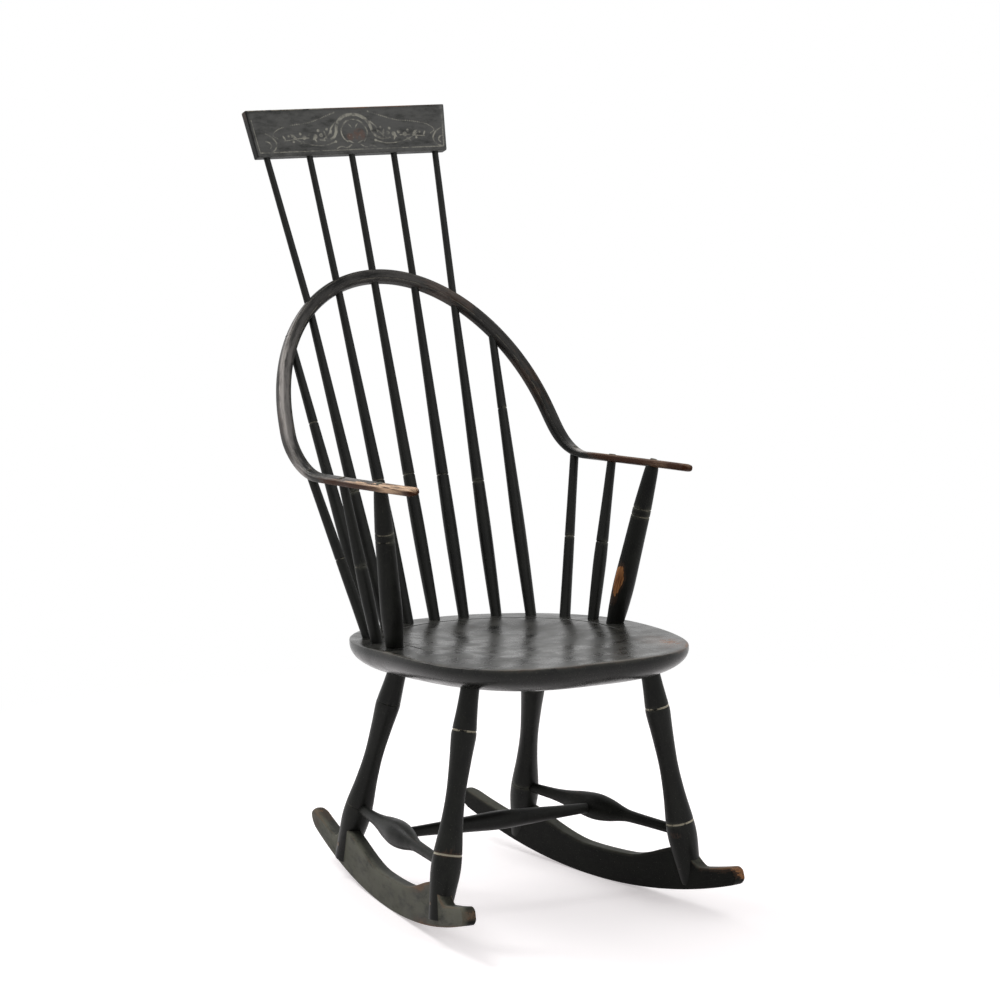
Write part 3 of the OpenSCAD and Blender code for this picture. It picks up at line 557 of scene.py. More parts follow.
hoop_foot_y = SPINDLES_BACK + (HOOP_BASE + HOOP_RISE) * tan(BACK_LEAN) - HOOP_RISE * tan(HOOP_LEAN)
elbow_tangent = ELBOW_R * tan((pi / 2 - HOOP_LEAN) / 2)
elbow_end_y = hoop_foot_y - (HOOP_BASE - ARM_H) * tan(HOOP_LEAN) - elbow_tangent
hoop_end = asin((ARM_H + elbow_tangent * cos(HOOP_LEAN) - HOOP_BASE) / HOOP_RISE)


def hoop_point(a):
    return np.array([HOOP_HALF * cos(a), hoop_foot_y + HOOP_RISE * tan(HOOP_LEAN) * sin(a),
                     HOOP_BASE + HOOP_RISE * sin(a)])


def elbow_point(a):
    return np.array([HOOP_HALF, elbow_end_y + ELBOW_R * cos(a), ARM_H + ELBOW_R * (1 - sin(a))])


def arm_point(y):
    swell = ARM_SWELL * sin(pi * (elbow_end_y - y) / (ARM_REACH + elbow_end_y))
    return np.array([HOOP_HALF + swell, y, ARM_H])


def over_y(y):
    """Point of the arm or elbow over a place y of the seat."""
    return arm_point(y) if y <= elbow_end_y else elbow_point(acos((y - elbow_end_y) / ELBOW_R))


def foot_on_seat(degrees):
    """Foot of a spindle, at an angle from straight behind."""
    x, y = oval(radians(degrees), SPINDLES_OUT, SPINDLES_BACK, SPINDLES_BACK, 2.2, 2.2)
    return np.array([float(x), float(y), 0.0])


print("the hoop stands", round(float(hoop_point(pi / 2)[2])), "mm above the deck")

# %% [markdown]
# ## The bow
# One stick of hickory or ash, steamed and bent. Its face is scraped to a soft square and
# scored with a bead along each edge; toward the arms it thins and rolls a little outward.
# A curve with a bevel profile would bend and roll it too, but its radius thins width and
# thickness alike, and the beads with them. So each ring of the section is laid by numbers.

# %% The bow's section
BEAD_IN = 4.0        # from the edge of the face to the middle of a bead's groove
BEAD_DEPTH = 0.8

# a soft square, walked round in even steps: `across` and `facing_out` run from -1 to 1
corner = np.linspace(0, 2 * pi, 2000)[:-1]
square = np.stack([power(abs(np.cos(corner)), 2 / 3.2) * np.sign(np.cos(corner)),
                   power(abs(np.sin(corner)), 2 / 3.2) * np.sign(np.sin(corner))], -1)
travel = np.concatenate([[0], np.cumsum(np.linalg.norm(np.diff(square, axis=0), axis=1))])
pick = np.searchsorted(travel, np.linspace(0, travel[-1], 97)[:-1])
across, facing_out = square[pick, 0], square[pick, 1]


def bow_ring(p, t, up, width, thick, bead):
    """A ring of the section at p, along t, with its face toward up. Also its bead distances."""
    t = unit(t)
    n = unit(up - t * np.dot(up, t))
    b = np.cross(n, t)
    x, z = across * width / 2, facing_out * thick / 2
    from_bead = abs(abs(x) - (width / 2 - BEAD_IN))
    on_face = facing_out > 0.6
    z = z - np.where(on_face, bead * BEAD_DEPTH * np.exp(-(from_bead / 0.75) ** 2), 0)
    return p + b * x[:, None] + n * z[:, None], np.where(on_face & (bead > 0.3), from_bead + 0.35, 99)


def face_at(a):
    """Which way the face looks where the stick leans by a."""
    return np.array([0, -cos(a), sin(a)])


def roll_out(up, a):
    """The same way, rolled outward by a."""
    return up * cos(a) + np.array([sin(a), 0, 0])


print("points in one ring of the bow:", len(across))

# %% The bow's path
ROLL = radians(11)             # the arms' faces lean outward by this much
HOOP_W, HOOP_T = 21, 18        # section of the hoop
ARM_W, ARM_T = 19, 11          # section of the arms
TIP_ROUND = 9                  # the arm's end is rounded over this length
path = []                      # point, way the face looks, width, thickness, depth of bead

for a in np.linspace(pi / 2, hoop_end, 70):
    path.append((hoop_point(a), face_at(HOOP_LEAN), HOOP_W, HOOP_T, 1.0))
hoop_count = len(path)
for a in np.linspace(HOOP_LEAN, pi / 2, 26)[1:]:
    share = float(ease((a - HOOP_LEAN) / (pi / 2 - HOOP_LEAN)))
    path.append((elbow_point(a), roll_out(face_at(a), ROLL * share),
                 HOOP_W - 2 * share, HOOP_T - 7 * share, 1.0))
elbow_count = len(path)
for y in np.linspace(elbow_end_y, TIP_ROUND - ARM_REACH, 60)[1:]:
    path.append((arm_point(y), roll_out(face_at(pi / 2), ROLL), ARM_W - 0.1, ARM_T, 0.7))
for d in (6.5, 4.5, 3, 1.8, 0.9, 0.35, 0.05):
    close = (1 - ((TIP_ROUND - d) / TIP_ROUND) ** 2) ** 0.5
    path.append((arm_point(d - ARM_REACH), roll_out(face_at(pi / 2), ROLL),
                 ARM_W * (0.3 + 0.7 * close), ARM_T * (0.25 + 0.75 * close), 0.4))

middle_line = np.array([station[0] for station in path])
along = np.concatenate([[0], np.cumsum(np.linalg.norm(np.diff(middle_line, axis=0), axis=1))])
elbow_start, arm_start, travelled = along[hoop_count - 1], along[elbow_count - 1], along[-1]
print("from the top of the hoop to an elbow:", round(elbow_start), "mm, to an arm:", round(arm_start), "mm")

# %% [markdown]
# A bent stick has no corner in it. The ellipse and the elbow meet at a slight angle, so the
# sideways places are averaged with their neighbours for a hand's width around that joint.

# %% A fair curve through the elbow
weights = np.exp(-((along[:, None] - along[None, :]) / 20) ** 2) * np.gradient(along)[None, :]
averaged = (weights @ middle_line[:, 0]) / weights.sum(1)
middle_line[:, 0] += (averaged - middle_line[:, 0]) * near(along, elbow_start, 55)
heading = np.gradient(middle_line, along, axis=0)
heading[0] = (1, 0, 0)
laid = [bow_ring(p, t, *rest) for p, t, (_, *rest) in zip(middle_line, heading, path)]
half, half_line = np.array([r for r, _ in laid]), np.array([l for _, l in laid])
mirror = half[:0:-1] * (-1, 1, 1)
bow_rings = np.concatenate([mirror, half])
bow_line = np.concatenate([half_line[:0:-1], half_line])
signed = np.concatenate([-along[:0:-1], along])
print("length of the bow:", round(2 * travelled), "mm")

# %% [markdown]
# Hands have polished the arms down to the wood from the elbows to the tips, most of all
# along their edges, and the bare wood is darker underneath.
# The hoop is worn brown where it meets the wall of a room. Down its right side lies a painted
# highlight: a grey sheen on its face and a bright streak along its outer corner, over a thin bloom.
#
# Places along the bow are mm from the top of the hoop, less than 0 toward the arm on the
# sitter's right. Places round the stick are `outer`, 1 on its outer side, and how much a
# point faces out. A worn spot is a product of such places, and the spots are added up.

# %% Places on the bow
# a pale grey for a thin dust bloom and for the painted highlights on the hoop and arms
GREY_BLOOM_AND_HIGHLIGHT = (0.520, 0.485, 0.460, 1)
PALE_WOOD = (0.700, 0.470, 0.305, 1)
UMBER_WOOD = (0.040, 0.0125, 0.0035, 1)

place_on = signed[:, None]
arm_share = np.clip((abs(place_on) - arm_start) / (travelled - arm_start), 0, 1)
on_right_side, on_left_side = place_on < 0, place_on >= 0
outer, top_face = across[None, :], ease(facing_out * 2)[None, :]
rim = ease((abs(outer) - 0.45) / 0.4)
face = ease((facing_out - 0.45) / 0.3)[None, :]
face_and_corner = ease((facing_out + 0.1) / 0.5)[None, :]
under = ease((0.86 - facing_out) / 0.45)[None, :]
below = ease((0.1 - facing_out) / 0.8)[None, :]
print("each arm is", round(travelled - arm_start), "mm long")

# %% Where the bow is rubbed
bow_wear = 0.10 + 0.12 * near(abs(outer), 1.0, 0.25) + 0.10 * rim * ease(arm_share * 2)

# the arm on the sitter's right: its outer side is rubbed from the elbow on, its tip is bare and pale
worn = near(outer, 1.0, 0.55) * 0.52 * ease(arm_share * 9)
worn = worn + 0.20 * ease((arm_share - 0.05) * 4) * (1 - 0.6 * top_face)
worn = worn + 0.34 * ease((arm_share - 0.28) * 5) * ease((outer + 0.2) * 2)
bow_wear = bow_wear + on_right_side * (worn + 0.85 * ease((arm_share - 0.55) * 7))

# the other arm: its top is rubbed along its whole length, its edges from the middle to the tip
worn = 0.72 * ease(facing_out * 2.5 - 0.4)[None, :] * ease(arm_share * 7)
worn = worn + 0.56 * ease(arm_share * 6) * (1 - 0.4 * ease((arm_share - 0.45) * 6))
worn = worn + ease((arm_share - 0.42) * 5) * 0.22 * rim
worn = worn + 0.20 * ease((arm_share - 0.5) * 8)
bow_wear = bow_wear + on_left_side * (worn + 0.20 * ease((arm_share - 0.9) * 9))

# the hoop: a brown band beyond the fourth spindle, and brown toward both elbows
bow_wear = bow_wear + 0.52 * near(place_on, 120, 55) * (1 - 0.5 * rim)
bow_wear = bow_wear + 0.24 * near(place_on, 300, 90)
bow_wear = bow_wear + 0.20 * near(place_on, -430, 45)
bow_wear = bow_wear + 0.20 * near(place_on, -345, 40)
print("the most rubbed point has", round(float(bow_wear.max()), 2))

# %% Where the bow is grey: a bloom, and painted highlights
on_hoop = 1 - ease((abs(place_on) - 375) / 50)
inner_edge = -0.62 + 0.45 * ease((-place_on - 350) / 50)

# a thin bloom on all of the hoop, and down its right side a painted highlight: a grey sheen on the face and a
# bright streak on the corner
bow_dust_and_highlight = 0.065 * on_hoop
bow_dust_and_highlight = bow_dust_and_highlight + 0.30 * near(place_on, -300, 112) * face * ease((outer - inner_edge) / 0.3)
bow_dust_and_highlight = bow_dust_and_highlight + 1.5 * near(place_on, -295, 80) * near(outer, 0.62, 0.24) * face_and_corner
bow_dust_and_highlight = bow_dust_and_highlight + 0.45 * near(place_on, -195, 40) * near(outer, 0.85, 0.12) * face_and_corner

# scuffs where the hoop turns into the right elbow, a painted highlight along its outer edge there, and faint
# scuffs at the top
bow_dust_and_highlight = bow_dust_and_highlight + 0.22 * near(place_on, -400, 40) * near(outer, 0.3, 0.4)
bow_dust_and_highlight = bow_dust_and_highlight + 0.75 * near(place_on, -448, 28) * near(outer, 0.95, 0.2)
bow_dust_and_highlight = bow_dust_and_highlight + 0.06 * near(place_on, 0, 100)
bow_dust_and_highlight = bow_dust_and_highlight + 0.06 * near(place_on, 120, 50)
bow_dust_and_highlight = bow_dust_and_highlight + 0.55 * near(place_on, -455, 8) * near(outer, -0.2, 0.35) * face

# painted highlights on top of both arms: the right one behind its middle, the left one at the elbow
bow_dust_and_highlight = bow_dust_and_highlight + 0.38 * near(place_on, -575, 85) * face
bow_dust_and_highlight = bow_dust_and_highlight + 0.95 * near(place_on, 484, 26) * face
bow_dust_and_highlight = np.clip(bow_dust_and_highlight, 0, 0.95)
print("the greyest point has", round(float(bow_dust_and_highlight.max()), 2))

# %% Where the bow's bare wood is dark
# the right arm's wood is dark underneath and at its elbow, except for one pale spot near the tip
pale_spot = near(place_on, -716, 36)
right_tip = ease((abs(place_on) - 750) / 20)
right_deep = near(place_on, -520, 60) + under * (1 - 0.88 * pale_spot) + 0.12 * below * pale_spot
bow_deep = on_right_side * (right_deep + 0.3 * right_tip * under)
bow_deep = bow_deep + 0.9 * (abs(place_on) < 440)

# the left arm's wood is dark all along, a little less so under a stretch near the tip
light_stretch = near(place_on, 714, 34)
left_deep = 0.80 + 0.2 * under - 0.17 * light_stretch * under + 0.2 * near(place_on, 748, 16)
bow_deep = bow_deep + on_left_side * left_deep * (place_on > 440)
bow_deep = np.clip(bow_deep, 0, 1)
print("share of the bow whose bare wood is dark:", round(float((bow_deep > 0.5).mean()), 2))

# %% The bow in its paint
bow_grain = np.stack([np.broadcast_to(across * 10, bow_line.shape),
                      np.broadcast_to(facing_out * 9, bow_line.shape),
                      np.broadcast_to(place_on, bow_line.shape) + 3000], -1)
bow = skin("bent_bow", stand(bow_rings), "bow", bow_grain, line=bow_line, wear=bow_wear, dust_and_sheen=bow_dust_and_highlight,
           more={"deep": bow_deep})
bow.data.materials.append(old_paint("black_paint_on_bow_with_painted_highlights", polish=0.05, gilt=0.25, shine=0.09,
                                    dust_and_sheen=GREY_BLOOM_AND_HIGHLIGHT, wood=(UMBER_WOOD, PALE_WOOD), cover=(0.33, 0.58),
                                    specks=0.12, grain_stretch=0.16))
print("bow points:", len(bow.data.vertices))

# %% [markdown]
# ## Turned pieces
# Spindles, posts, legs and stretchers come off the lathe. A turner works from a story stick:
# marks for the places along the piece, with a diameter at each. `turn` takes such a list,
# draws a smooth curve through it, scores a V groove at each marked ring and spins it into a
# skin. Rings like these, on a shaft that swells and narrows, imitate bamboo.
#
# Hand turning is never quite round, so a whisker of seeded unevenness is added. Dirt gathers
# in a groove on one side more than on the other, so its side is drawn by lot as well.

# %% The curve through the marks
GROOVE_DEPTH, GROOVE_REACH = 0.95, 0.8
chance = np.random.default_rng(7)


def between(a, b, c, d, t):
    """A smooth way from b, at t = 0, to c, at t = 1, with a before them and d after them."""
    return 0.5 * (2 * b + (c - a) * t + (2 * a - 5 * b + 4 * c - d) * t * t
                  + (3 * b - a - 3 * c + d) * t ** 3)


def smooth_curve(marks):
    """A smooth curve through [place, diameter] marks: the same one that the CAD solids use."""
    m = np.array([k[:2] for k in marks], float)
    out = []
    for i in range(len(m) - 1):
        a, b, c, d = m[max(i - 1, 0)], m[i], m[i + 1], m[min(i + 2, len(m) - 1)]
        for t in np.linspace(0, 1, 9)[:-1]:
            out.append(between(a, b, c, d, t))
    return np.array(out + [m[-1]])


print("points of a curve through three marks:", len(smooth_curve([(0, 10), (50, 14), (100, 8)])))


# %% Stations along a turning
def stations_of(marks, tenon):
    """Places along the piece, with a radius and a distance from the nearest ring at each."""
    curve = smooth_curve(marks)
    scores = [k[0] for k in marks if len(k) > 2]
    places = np.arange(curve[0, 0], curve[-1, 0], 2.6)
    for s in scores:
        places = np.concatenate([places, s + np.linspace(-2.2, 2.2, 13)])
    places = np.unique(np.append(np.clip(places, curve[0, 0], curve[-1, 0]), curve[-1, 0]))
    radius = np.interp(places, curve[:, 0], curve[:, 1]) / 2
    line = np.full(len(places), 99.0)
    for s in scores:
        line = np.minimum(line, abs(places - s))
    radius = radius - GROOVE_DEPTH * np.exp(-(line / GROOVE_REACH) ** 2)
    if tenon:
        places = np.concatenate([places, [places[-1] + 0.01, tenon[1] - 0.6, tenon[1]]])
        radius = np.concatenate([radius, [tenon[0] / 2, tenon[0] / 2, tenon[0] / 2 - 0.6]])
        line = np.concatenate([line, [99, 99, 99]])
    return places, radius, line


print("stations of a plain turning 50 mm long:", len(stations_of([(0, 10), (50, 10)], None)[0]))


# %% The lathe
def turn(name, node, start, end, marks, wear=0.12, dust_and_sheen=0.06, around=44, tenon=None, patches=(),
         finish=None, smudge=0.5):
    """Spin marks about the line from start to end, both in mm over the floor.

    marks: (place, diameter), with a third item where a ring is scored.
    tenon: the diameter and end of a tenon that comes out through the bow.
    patches: (place, direction, reach along, reach round, how much) of worn paint.
    smudge: how much dirt lies in the grooves, on their dirtier side.
    """
    places, radius, line = stations_of(marks, tenon)
    axis = unit(end - start)
    side = unit(np.cross(axis, [1.0, 0.3, 0.2]))
    other = np.cross(axis, side)
    turned = np.arange(around) * 2 * pi / around
    out = side * np.cos(turned)[:, None] + other * np.sin(turned)[:, None]
    wobble = 1 + 0.006 * np.sin(turned[None, :] * 2 + places[:, None] * 0.013 + chance.uniform(0, 6))
    rings = start + axis * places[:, None, None] + out * (radius[:, None] * wobble)[..., None]
    rubbed = np.zeros(rings.shape[:2]) + wear + 0.16 * near(line, 1.9, 0.9)[:, None]
    dirty_side = ease(0.5 + 0.8 * np.sin(turned + chance.uniform(0, 6)))
    soiled = dust_and_sheen + smudge * near(line, 1.2, 2.6)[:, None] * dirty_side
    if tenon:
        rubbed[-3:], soiled[-3:] = 0.55, 1.0
    for place, toward, reach, width, much in patches:
        aim = unit(np.array(toward, float) - axis * np.dot(toward, axis))
        patch = near(places, place, reach)[:, None] * near(np.arccos(np.clip(out @ aim, -1, 1)), 0, width)
        rubbed = rubbed + much * np.minimum(1, 1.9 * patch)
    grain = np.stack([radius[:, None] * np.cos(turned), radius[:, None] * np.sin(turned),
                      np.broadcast_to(places[:, None], rubbed.shape)], -1) + chance.uniform(0, 900, 3)
    piece = skin(name, rings, node, grain, line=np.broadcast_to(line[:, None], rubbed.shape),
                 wear=rubbed, dust_and_sheen=soiled)
    piece.data.materials.append(finish or paint)
    return piece


def mix(a, b, t):
    """a at t = 0, b at t = 1, in a straight line between."""
    return a + (b - a) * t


print("a scored ring is", GROOVE_DEPTH, "mm deep")

# %% [markdown]
# ## Five long spindles
# Each is thickest a little above the seat, where a sitter's back presses, and thins to the
# hoop and again to the crest. It is sprung slightly where it passes through the hoop, so its
# two stretches are not quite in line: two turnings that meet inside the hole.

# %% Long spindles
CREST_FOOT_H = 690.5                          # the crest's lower edge, square over the deck
CREST_FOOT = np.array([0.0, SPINDLES_BACK + CREST_FOOT_H * tan(BACK_LEAN), CREST_FOOT_H])
LONG_FEET = (28.5, 13, 0, -13, -28.5)         # degrees from straight behind, round the seat
LONG_HOLES = (56.5, 73, 90, 107, 123.5)       # degrees along the hoop
CREST_STEP = 72                               # between spindles in the crest
FOOT_D, SWELL_D, HOLE_D = 16.5, 20.0, 11.6    # diameters at the seat, at the swelling, in the hoop
UPPER_D, END_D = 11.0, 9.6                    # above the hoop, and in the crest
SUNK = 20                                     # length of every foot inside the seat

for i in range(5):
    foot, hole = foot_on_seat(LONG_FEET[i]), hoop_point(radians(LONG_HOLES[i]))
    top = CREST_FOOT + [(2 - i) * CREST_STEP, 0, 0]
    low, high = np.linalg.norm(hole - foot), np.linalg.norm(top - hole)
    lower = [(-SUNK, FOOT_D), (0, FOOT_D), (0.14 * low, mix(FOOT_D, SWELL_D, 0.75)), (0.27 * low, SWELL_D),
             (0.42 * low, mix(SWELL_D, HOLE_D, 0.22), "scored"), (0.66 * low, mix(SWELL_D, HOLE_D, 0.6)),
             (low - 18, HOLE_D), (low + 3, HOLE_D)]
    upper = [(0, UPPER_D), (18, UPPER_D), (0.6 * high, mix(UPPER_D, END_D, 0.6)), (high, END_D),
             (high + 25, END_D)]
    node = f"comb_spindle_{i + 1}"
    turn(node + "_below_hoop", node, stand(foot), stand(hole), lower)
    turn(node + "_above_hoop", node, stand(hole), stand(top), upper, wear=0.16)
print("long spindle from seat to hoop:", round(low), "mm, on to the crest:", round(high), "mm")

# %% [markdown]
# ## Short spindles and the arm posts
# Beside the five, one short spindle on each side ends in the hoop, and two stand under each
# arm. The posts in front are the thickest, with two rings close together. Their tenons go
# right through the bow, split by a wedge and trimmed. One post has lost a long chip of paint.
#
# The arms, with what stands under them, are made once and mirrored for the other side.

# %% Short spindles
ARM_SPINDLE_TOP = 13                       # diameter under the arm
ARM_SPINDLES = [("rear", 63.5, 147, SWELL_D - 4.5), ("front", 80.5, 42, SWELL_D - 0.5)]

for side, word in ((1, "left"), (-1, "right")):
    flip = np.array([side, 1, 1])
    foot, hole = foot_on_seat(45.5) * flip, hoop_point(radians(40)) * flip
    low = np.linalg.norm(hole - foot)
    turn(f"back_spindle_{word}", f"back_spindle_{word}", stand(foot), stand(hole),
         [(-SUNK, FOOT_D), (0, FOOT_D), (0.16 * low, mix(FOOT_D, SWELL_D, 0.6)),
          (0.32 * low, mix(FOOT_D, SWELL_D, 0.85)), (0.5 * low, mix(SWELL_D, HOLE_D, 0.35)),
          (0.72 * low, mix(SWELL_D, HOLE_D, 0.7), "scored"), (low - 18, HOLE_D), (low + 11.5, HOLE_D)])
    for row, angle, top_y, belly in ARM_SPINDLES:
        foot, hole = foot_on_seat(angle) * flip, over_y(top_y) * flip
        low = np.linalg.norm(hole - foot)
        neck = low - (5.5 if top_y > elbow_end_y else 3.5)
        turn(f"arm_spindle_{row}_{word}", f"arm_spindle_{row}_{word}", stand(foot), stand(hole),
             [(-SUNK, FOOT_D), (0, FOOT_D), (0.2 * low, mix(FOOT_D, belly, 0.7)), (0.36 * low, belly),
              (0.48 * low, mix(belly, ARM_SPINDLE_TOP, 0.2), "scored"),
              (0.74 * low, mix(belly, ARM_SPINDLE_TOP, 0.7)), (neck, ARM_SPINDLE_TOP)],
             tenon=(10, low + 6.5))
print("spindle under the arm:", round(low), "mm")

# %% Arm posts
POST_FOOT, POST_BELLY, POST_TOP = 25.0, 31.5, 20.0
POST_FOOT_Y, POST_TOP_Y = -20, -72


def post_d(share):
    """Diameter of a post, from its top, 0, to its belly, 1."""
    return mix(POST_TOP, POST_BELLY, share)


for side, word in ((1, "left"), (-1, "right")):
    flip = np.array([side, 1, 1])
    foot, hole = np.array([side * SPINDLES_OUT, POST_FOOT_Y, 0.0]), arm_point(POST_TOP_Y) * flip
    low = np.linalg.norm(hole - foot)
    chips = [(0.285 * low, (-1, -0.2, 0), 19, 0.62, 0.85), (0.15 * low, (-1, -0.2, 0), 12, 0.5, 0.34)]
    turn(f"arm_post_{word}", f"arm_post_{word}", stand(foot), stand(hole),
         [(-SUNK, POST_FOOT), (0, POST_FOOT), (0.1 * low, mix(POST_FOOT, POST_BELLY, 0.6)),
          (0.24 * low, POST_BELLY), (0.42 * low, post_d(0.86)), (0.62 * low, post_d(0.7)),
          (0.675 * low, post_d(0.66), "scored"), (0.72 * low, post_d(0.62), "scored"),
          (0.86 * low, post_d(0.3)), (low - 9, POST_TOP), (low - 3, 17.2)],
         tenon=(11, low + 6.5), patches=chips if side > 0 else (), finish=post_paint)
print("arm post:", round(low), "mm")

# %% [markdown]
# ## Sawn boards
# The crest and the two rockers are boards. Their edges are eased, as a scraper leaves them:
# a box with sharp corners would look like plastic. `board_ring` gives one slice through a
# board, a rectangle with small round corners, and slices follow each other along the board.

# %% A slice through a board
def board_ring(half_thick, low, high, ease_r, face_steps, back_steps):
    """Points (across, height) of a slice between two heights, and how far each is from an edge.

    The front face is at +half_thick. ease_r is the rounding of the edges, and the steps say how
    many points go on the front face and on the back.
    """
    r = min(ease_r, half_thick * 0.9, (high - low) * 0.45)
    turn_of = np.linspace(0, pi / 2, 6)[1:-1]
    corners = [(half_thick - r, high - r, 0), (-half_thick + r, high - r, pi / 2),
               (-half_thick + r, low + r, pi), (half_thick - r, low + r, 1.5 * pi)]
    up = [(half_thick, h) for h in np.linspace(low + r, high - r, face_steps)]
    over = [(c, high) for c in np.linspace(half_thick - r, -half_thick + r, 6)]
    down = [(-half_thick, h) for h in np.linspace(high - r, low + r, back_steps)]
    under = [(c, low) for c in np.linspace(-half_thick + r, half_thick - r, 6)]
    bends = [[(c + r * cos(a + t), h + r * sin(a + t)) for t in turn_of] for c, h, a in corners]
    points = np.array(up + bends[0] + over + bends[1] + down + bends[2] + under + bends[3])
    from_face = half_thick - abs(points[:, 0])
    from_rim = np.minimum(points[:, 1] - low, high - points[:, 1])
    return points, np.maximum(from_face, from_rim)


def nose(distance, r):
    """How far a round end has drawn in, at a distance from its very end."""
    d = np.clip(r - distance, 0, r)
    return r - np.sqrt(np.maximum(r * r - d * d, 0))


print("points in one slice:", len(board_ring(7.5, 0, 70, 2.5, 100, 12)[0]))

# %% [markdown]
# ## The drawing on the crest
# Old chairs of this kind were dressed with stock stencils: fruit under an arch, scrolls and
# sprigs of leaves and berries, and a thin line round the board. Here it is drawn afresh with
# smooth strokes. Each stroke is a chain of round dabs; a point's distance from the drawing
# is the least of its distances from the dabs.

# %% Strokes of the stencil
def dabs(points, widths, count=46):
    """Dabs (x, height, radius) along a smooth curve through the points."""
    p = np.array(points, float)
    where = np.linspace(0, len(p) - 1, count)
    i = np.minimum(where.astype(int), len(p) - 2)
    t = (where - i)[:, None]
    a, b, c, d = p[np.maximum(i - 1, 0)], p[i], p[i + 1], p[np.minimum(i + 2, len(p) - 1)]
    radii = np.interp(where, np.linspace(0, len(p) - 1, len(widths)), widths)
    return np.column_stack([between(a, b, c, d, t), radii])


def leaf(x, h, degrees, long, wide):
    """A leaf that grows from its stalk at (x, h), in the direction given."""
    aim = np.array([cos(radians(degrees)), sin(radians(degrees))])
    stalk = np.array([x, h])
    tip = stalk + aim * long
    return dabs([(x, h), tuple((stalk + tip) / 2 + (0, 0.6)), tuple(tip)], (0.25, wide, 0.2), 16)


def berry(x, h, r):
    """One round dab."""
    return np.array([[x, h, r]])


print("dabs in one leaf:", len(leaf(48, 25, 75, 13, 1.8)))

# %% The drawing
STENCIL_MIDDLE = 7.0

# scrolls of the arch and of the sprigs, then their leaves and berries; x is from the drawing's middle
one_side = [
    dabs([(0, 62), (11, 60.5), (21, 55), (28, 46), (31, 35), (36, 27), (47, 22)], (2.2, 2.6, 2.2, 1.4)),
    dabs([(0, 54), (10, 52), (18, 45), (22, 35), (20, 26), (14, 19)], (0.7, 1.2, 1.0, 0.7)),
    dabs([(30, 50), (38, 42), (43, 33), (54, 24)], (0.9, 1.2, 0.8), 24),
    dabs([(29, 66), (52, 58), (76, 51), (104, 48), (126, 43), (138, 34), (131, 28)], (1.1, 0.8, 0.7, 0.5)),
    dabs([(34, 20), (52, 15), (74, 16), (94, 22), (108, 30)], (0.9, 0.7, 0.8, 0.4)),
    dabs([(78, 27), (92, 27), (108, 25), (120, 24)], (0.8, 0.6, 0.4)),
    dabs([(150, 36), (140, 30), (134, 20), (139, 10), (149, 7)], (0.5, 1.1, 0.9, 0.4)),
    dabs([(152, 24), (146, 22), (143, 17), (146, 13)], (0.4, 0.9, 0.5), 20),
    dabs([(8, 14), (16, 10), (26, 12), (34, 9)], (0.5, 1.0, 0.5), 24),
    leaf(48, 25, 75, 13, 1.8), leaf(50, 22, 8, 11, 1.6), leaf(99, 27, 35, 12, 1.9), leaf(72, 24, 140, 9, 1.6),
    leaf(66, 20, 60, 9, 1.5), leaf(88, 22, -35, 8, 1.4), leaf(118, 25, 60, 8, 1.3), leaf(40, 32, 100, 8, 1.3),
    berry(57, 31, 3.0), berry(67, 29, 3.4), berry(61, 38, 2.2), berry(76, 32, 2.4), berry(86, 28, 3.4),
    berry(92, 34, 2.0), berry(46, 40, 2.0), berry(34, 20, 1.8), berry(112, 31, 1.7), berry(105, 22, 1.6),
]
in_the_fruit = [leaf(3, 41, 50, 8, 0.9), berry(9, 29, 0.9), berry(3, 26, 0.8), leaf(4, 17, 20, 12, 0.9)]
drawing = np.concatenate([part * (mirrored, 1, 1) + (STENCIL_MIDDLE, 0, 0)
                          for part in one_side + in_the_fruit for mirrored in (1, -1)])
border = np.concatenate([dabs([(-156, 6.5), (156, 6.5)], (0.6,), 240),
                         dabs([(-157, 7), (-163, 58)], (0.4,), 60),
                         dabs([(157, 7), (163, 58)], (0.5,), 60)])
drawing = np.concatenate([drawing, border])
print("dabs in the stencil:", len(drawing))

# %% [markdown]
# ## The crest board
# A flat board, longer above than below, that stands on the five spindles. Its top edge is
# rubbed olive brown by hands that tilted the chair. A grey bloom lies on its face, made lighter
# as a painted sheen where the face leans back toward the room's light, with a light line painted
# along its end on the sitter's left as a highlight.

# %% The crest board's slices
CREST_H, CREST_T = 73.8, 15.0
CREST_LOW, CREST_TOP = 161.5, 170.0       # half its length below and above
HALF_CREST = 165                          # about half its length, by which slices are spaced
END_EASE, FACE_EASE = 1.5, 1.8            # rounding of its ends, seen from in front and from above

ends = np.concatenate([[0.0, 0.3, 0.8, 1.5, 2.3, 3.2, 4.2], np.linspace(5.2, HALF_CREST, 214)])
stations = np.concatenate([-(1 - ends / HALF_CREST), (1 - ends[::-1] / HALF_CREST)[1:]])
slices, from_edge, fronts = [], [], []
for s in stations:
    d = (1 - abs(s)) * HALF_CREST
    cut = float(nose(d, END_EASE))
    points, inside = board_ring(CREST_T / 2 - float(nose(d, FACE_EASE)), cut, CREST_H - cut, 1.9, 100, 14)
    slices.append(points)
    from_edge.append(np.minimum(inside, d))
    fronts.append(points[:, 0] > 4)
slices, from_edge, fronts = np.array(slices), np.array(from_edge), np.array(fronts)
c, h = slices[..., 0], slices[..., 1]     # toward the front of the board, and up it
x = stations[:, None] * (CREST_LOW + (CREST_TOP - CREST_LOW) * h / CREST_H)
back, up = h * sin(BACK_LEAN) - c * cos(BACK_LEAN), h * cos(BACK_LEAN) + c * sin(BACK_LEAN)
crest_points = CREST_FOOT + np.stack([x, back, up], -1)
print("slices of the crest board:", len(slices))

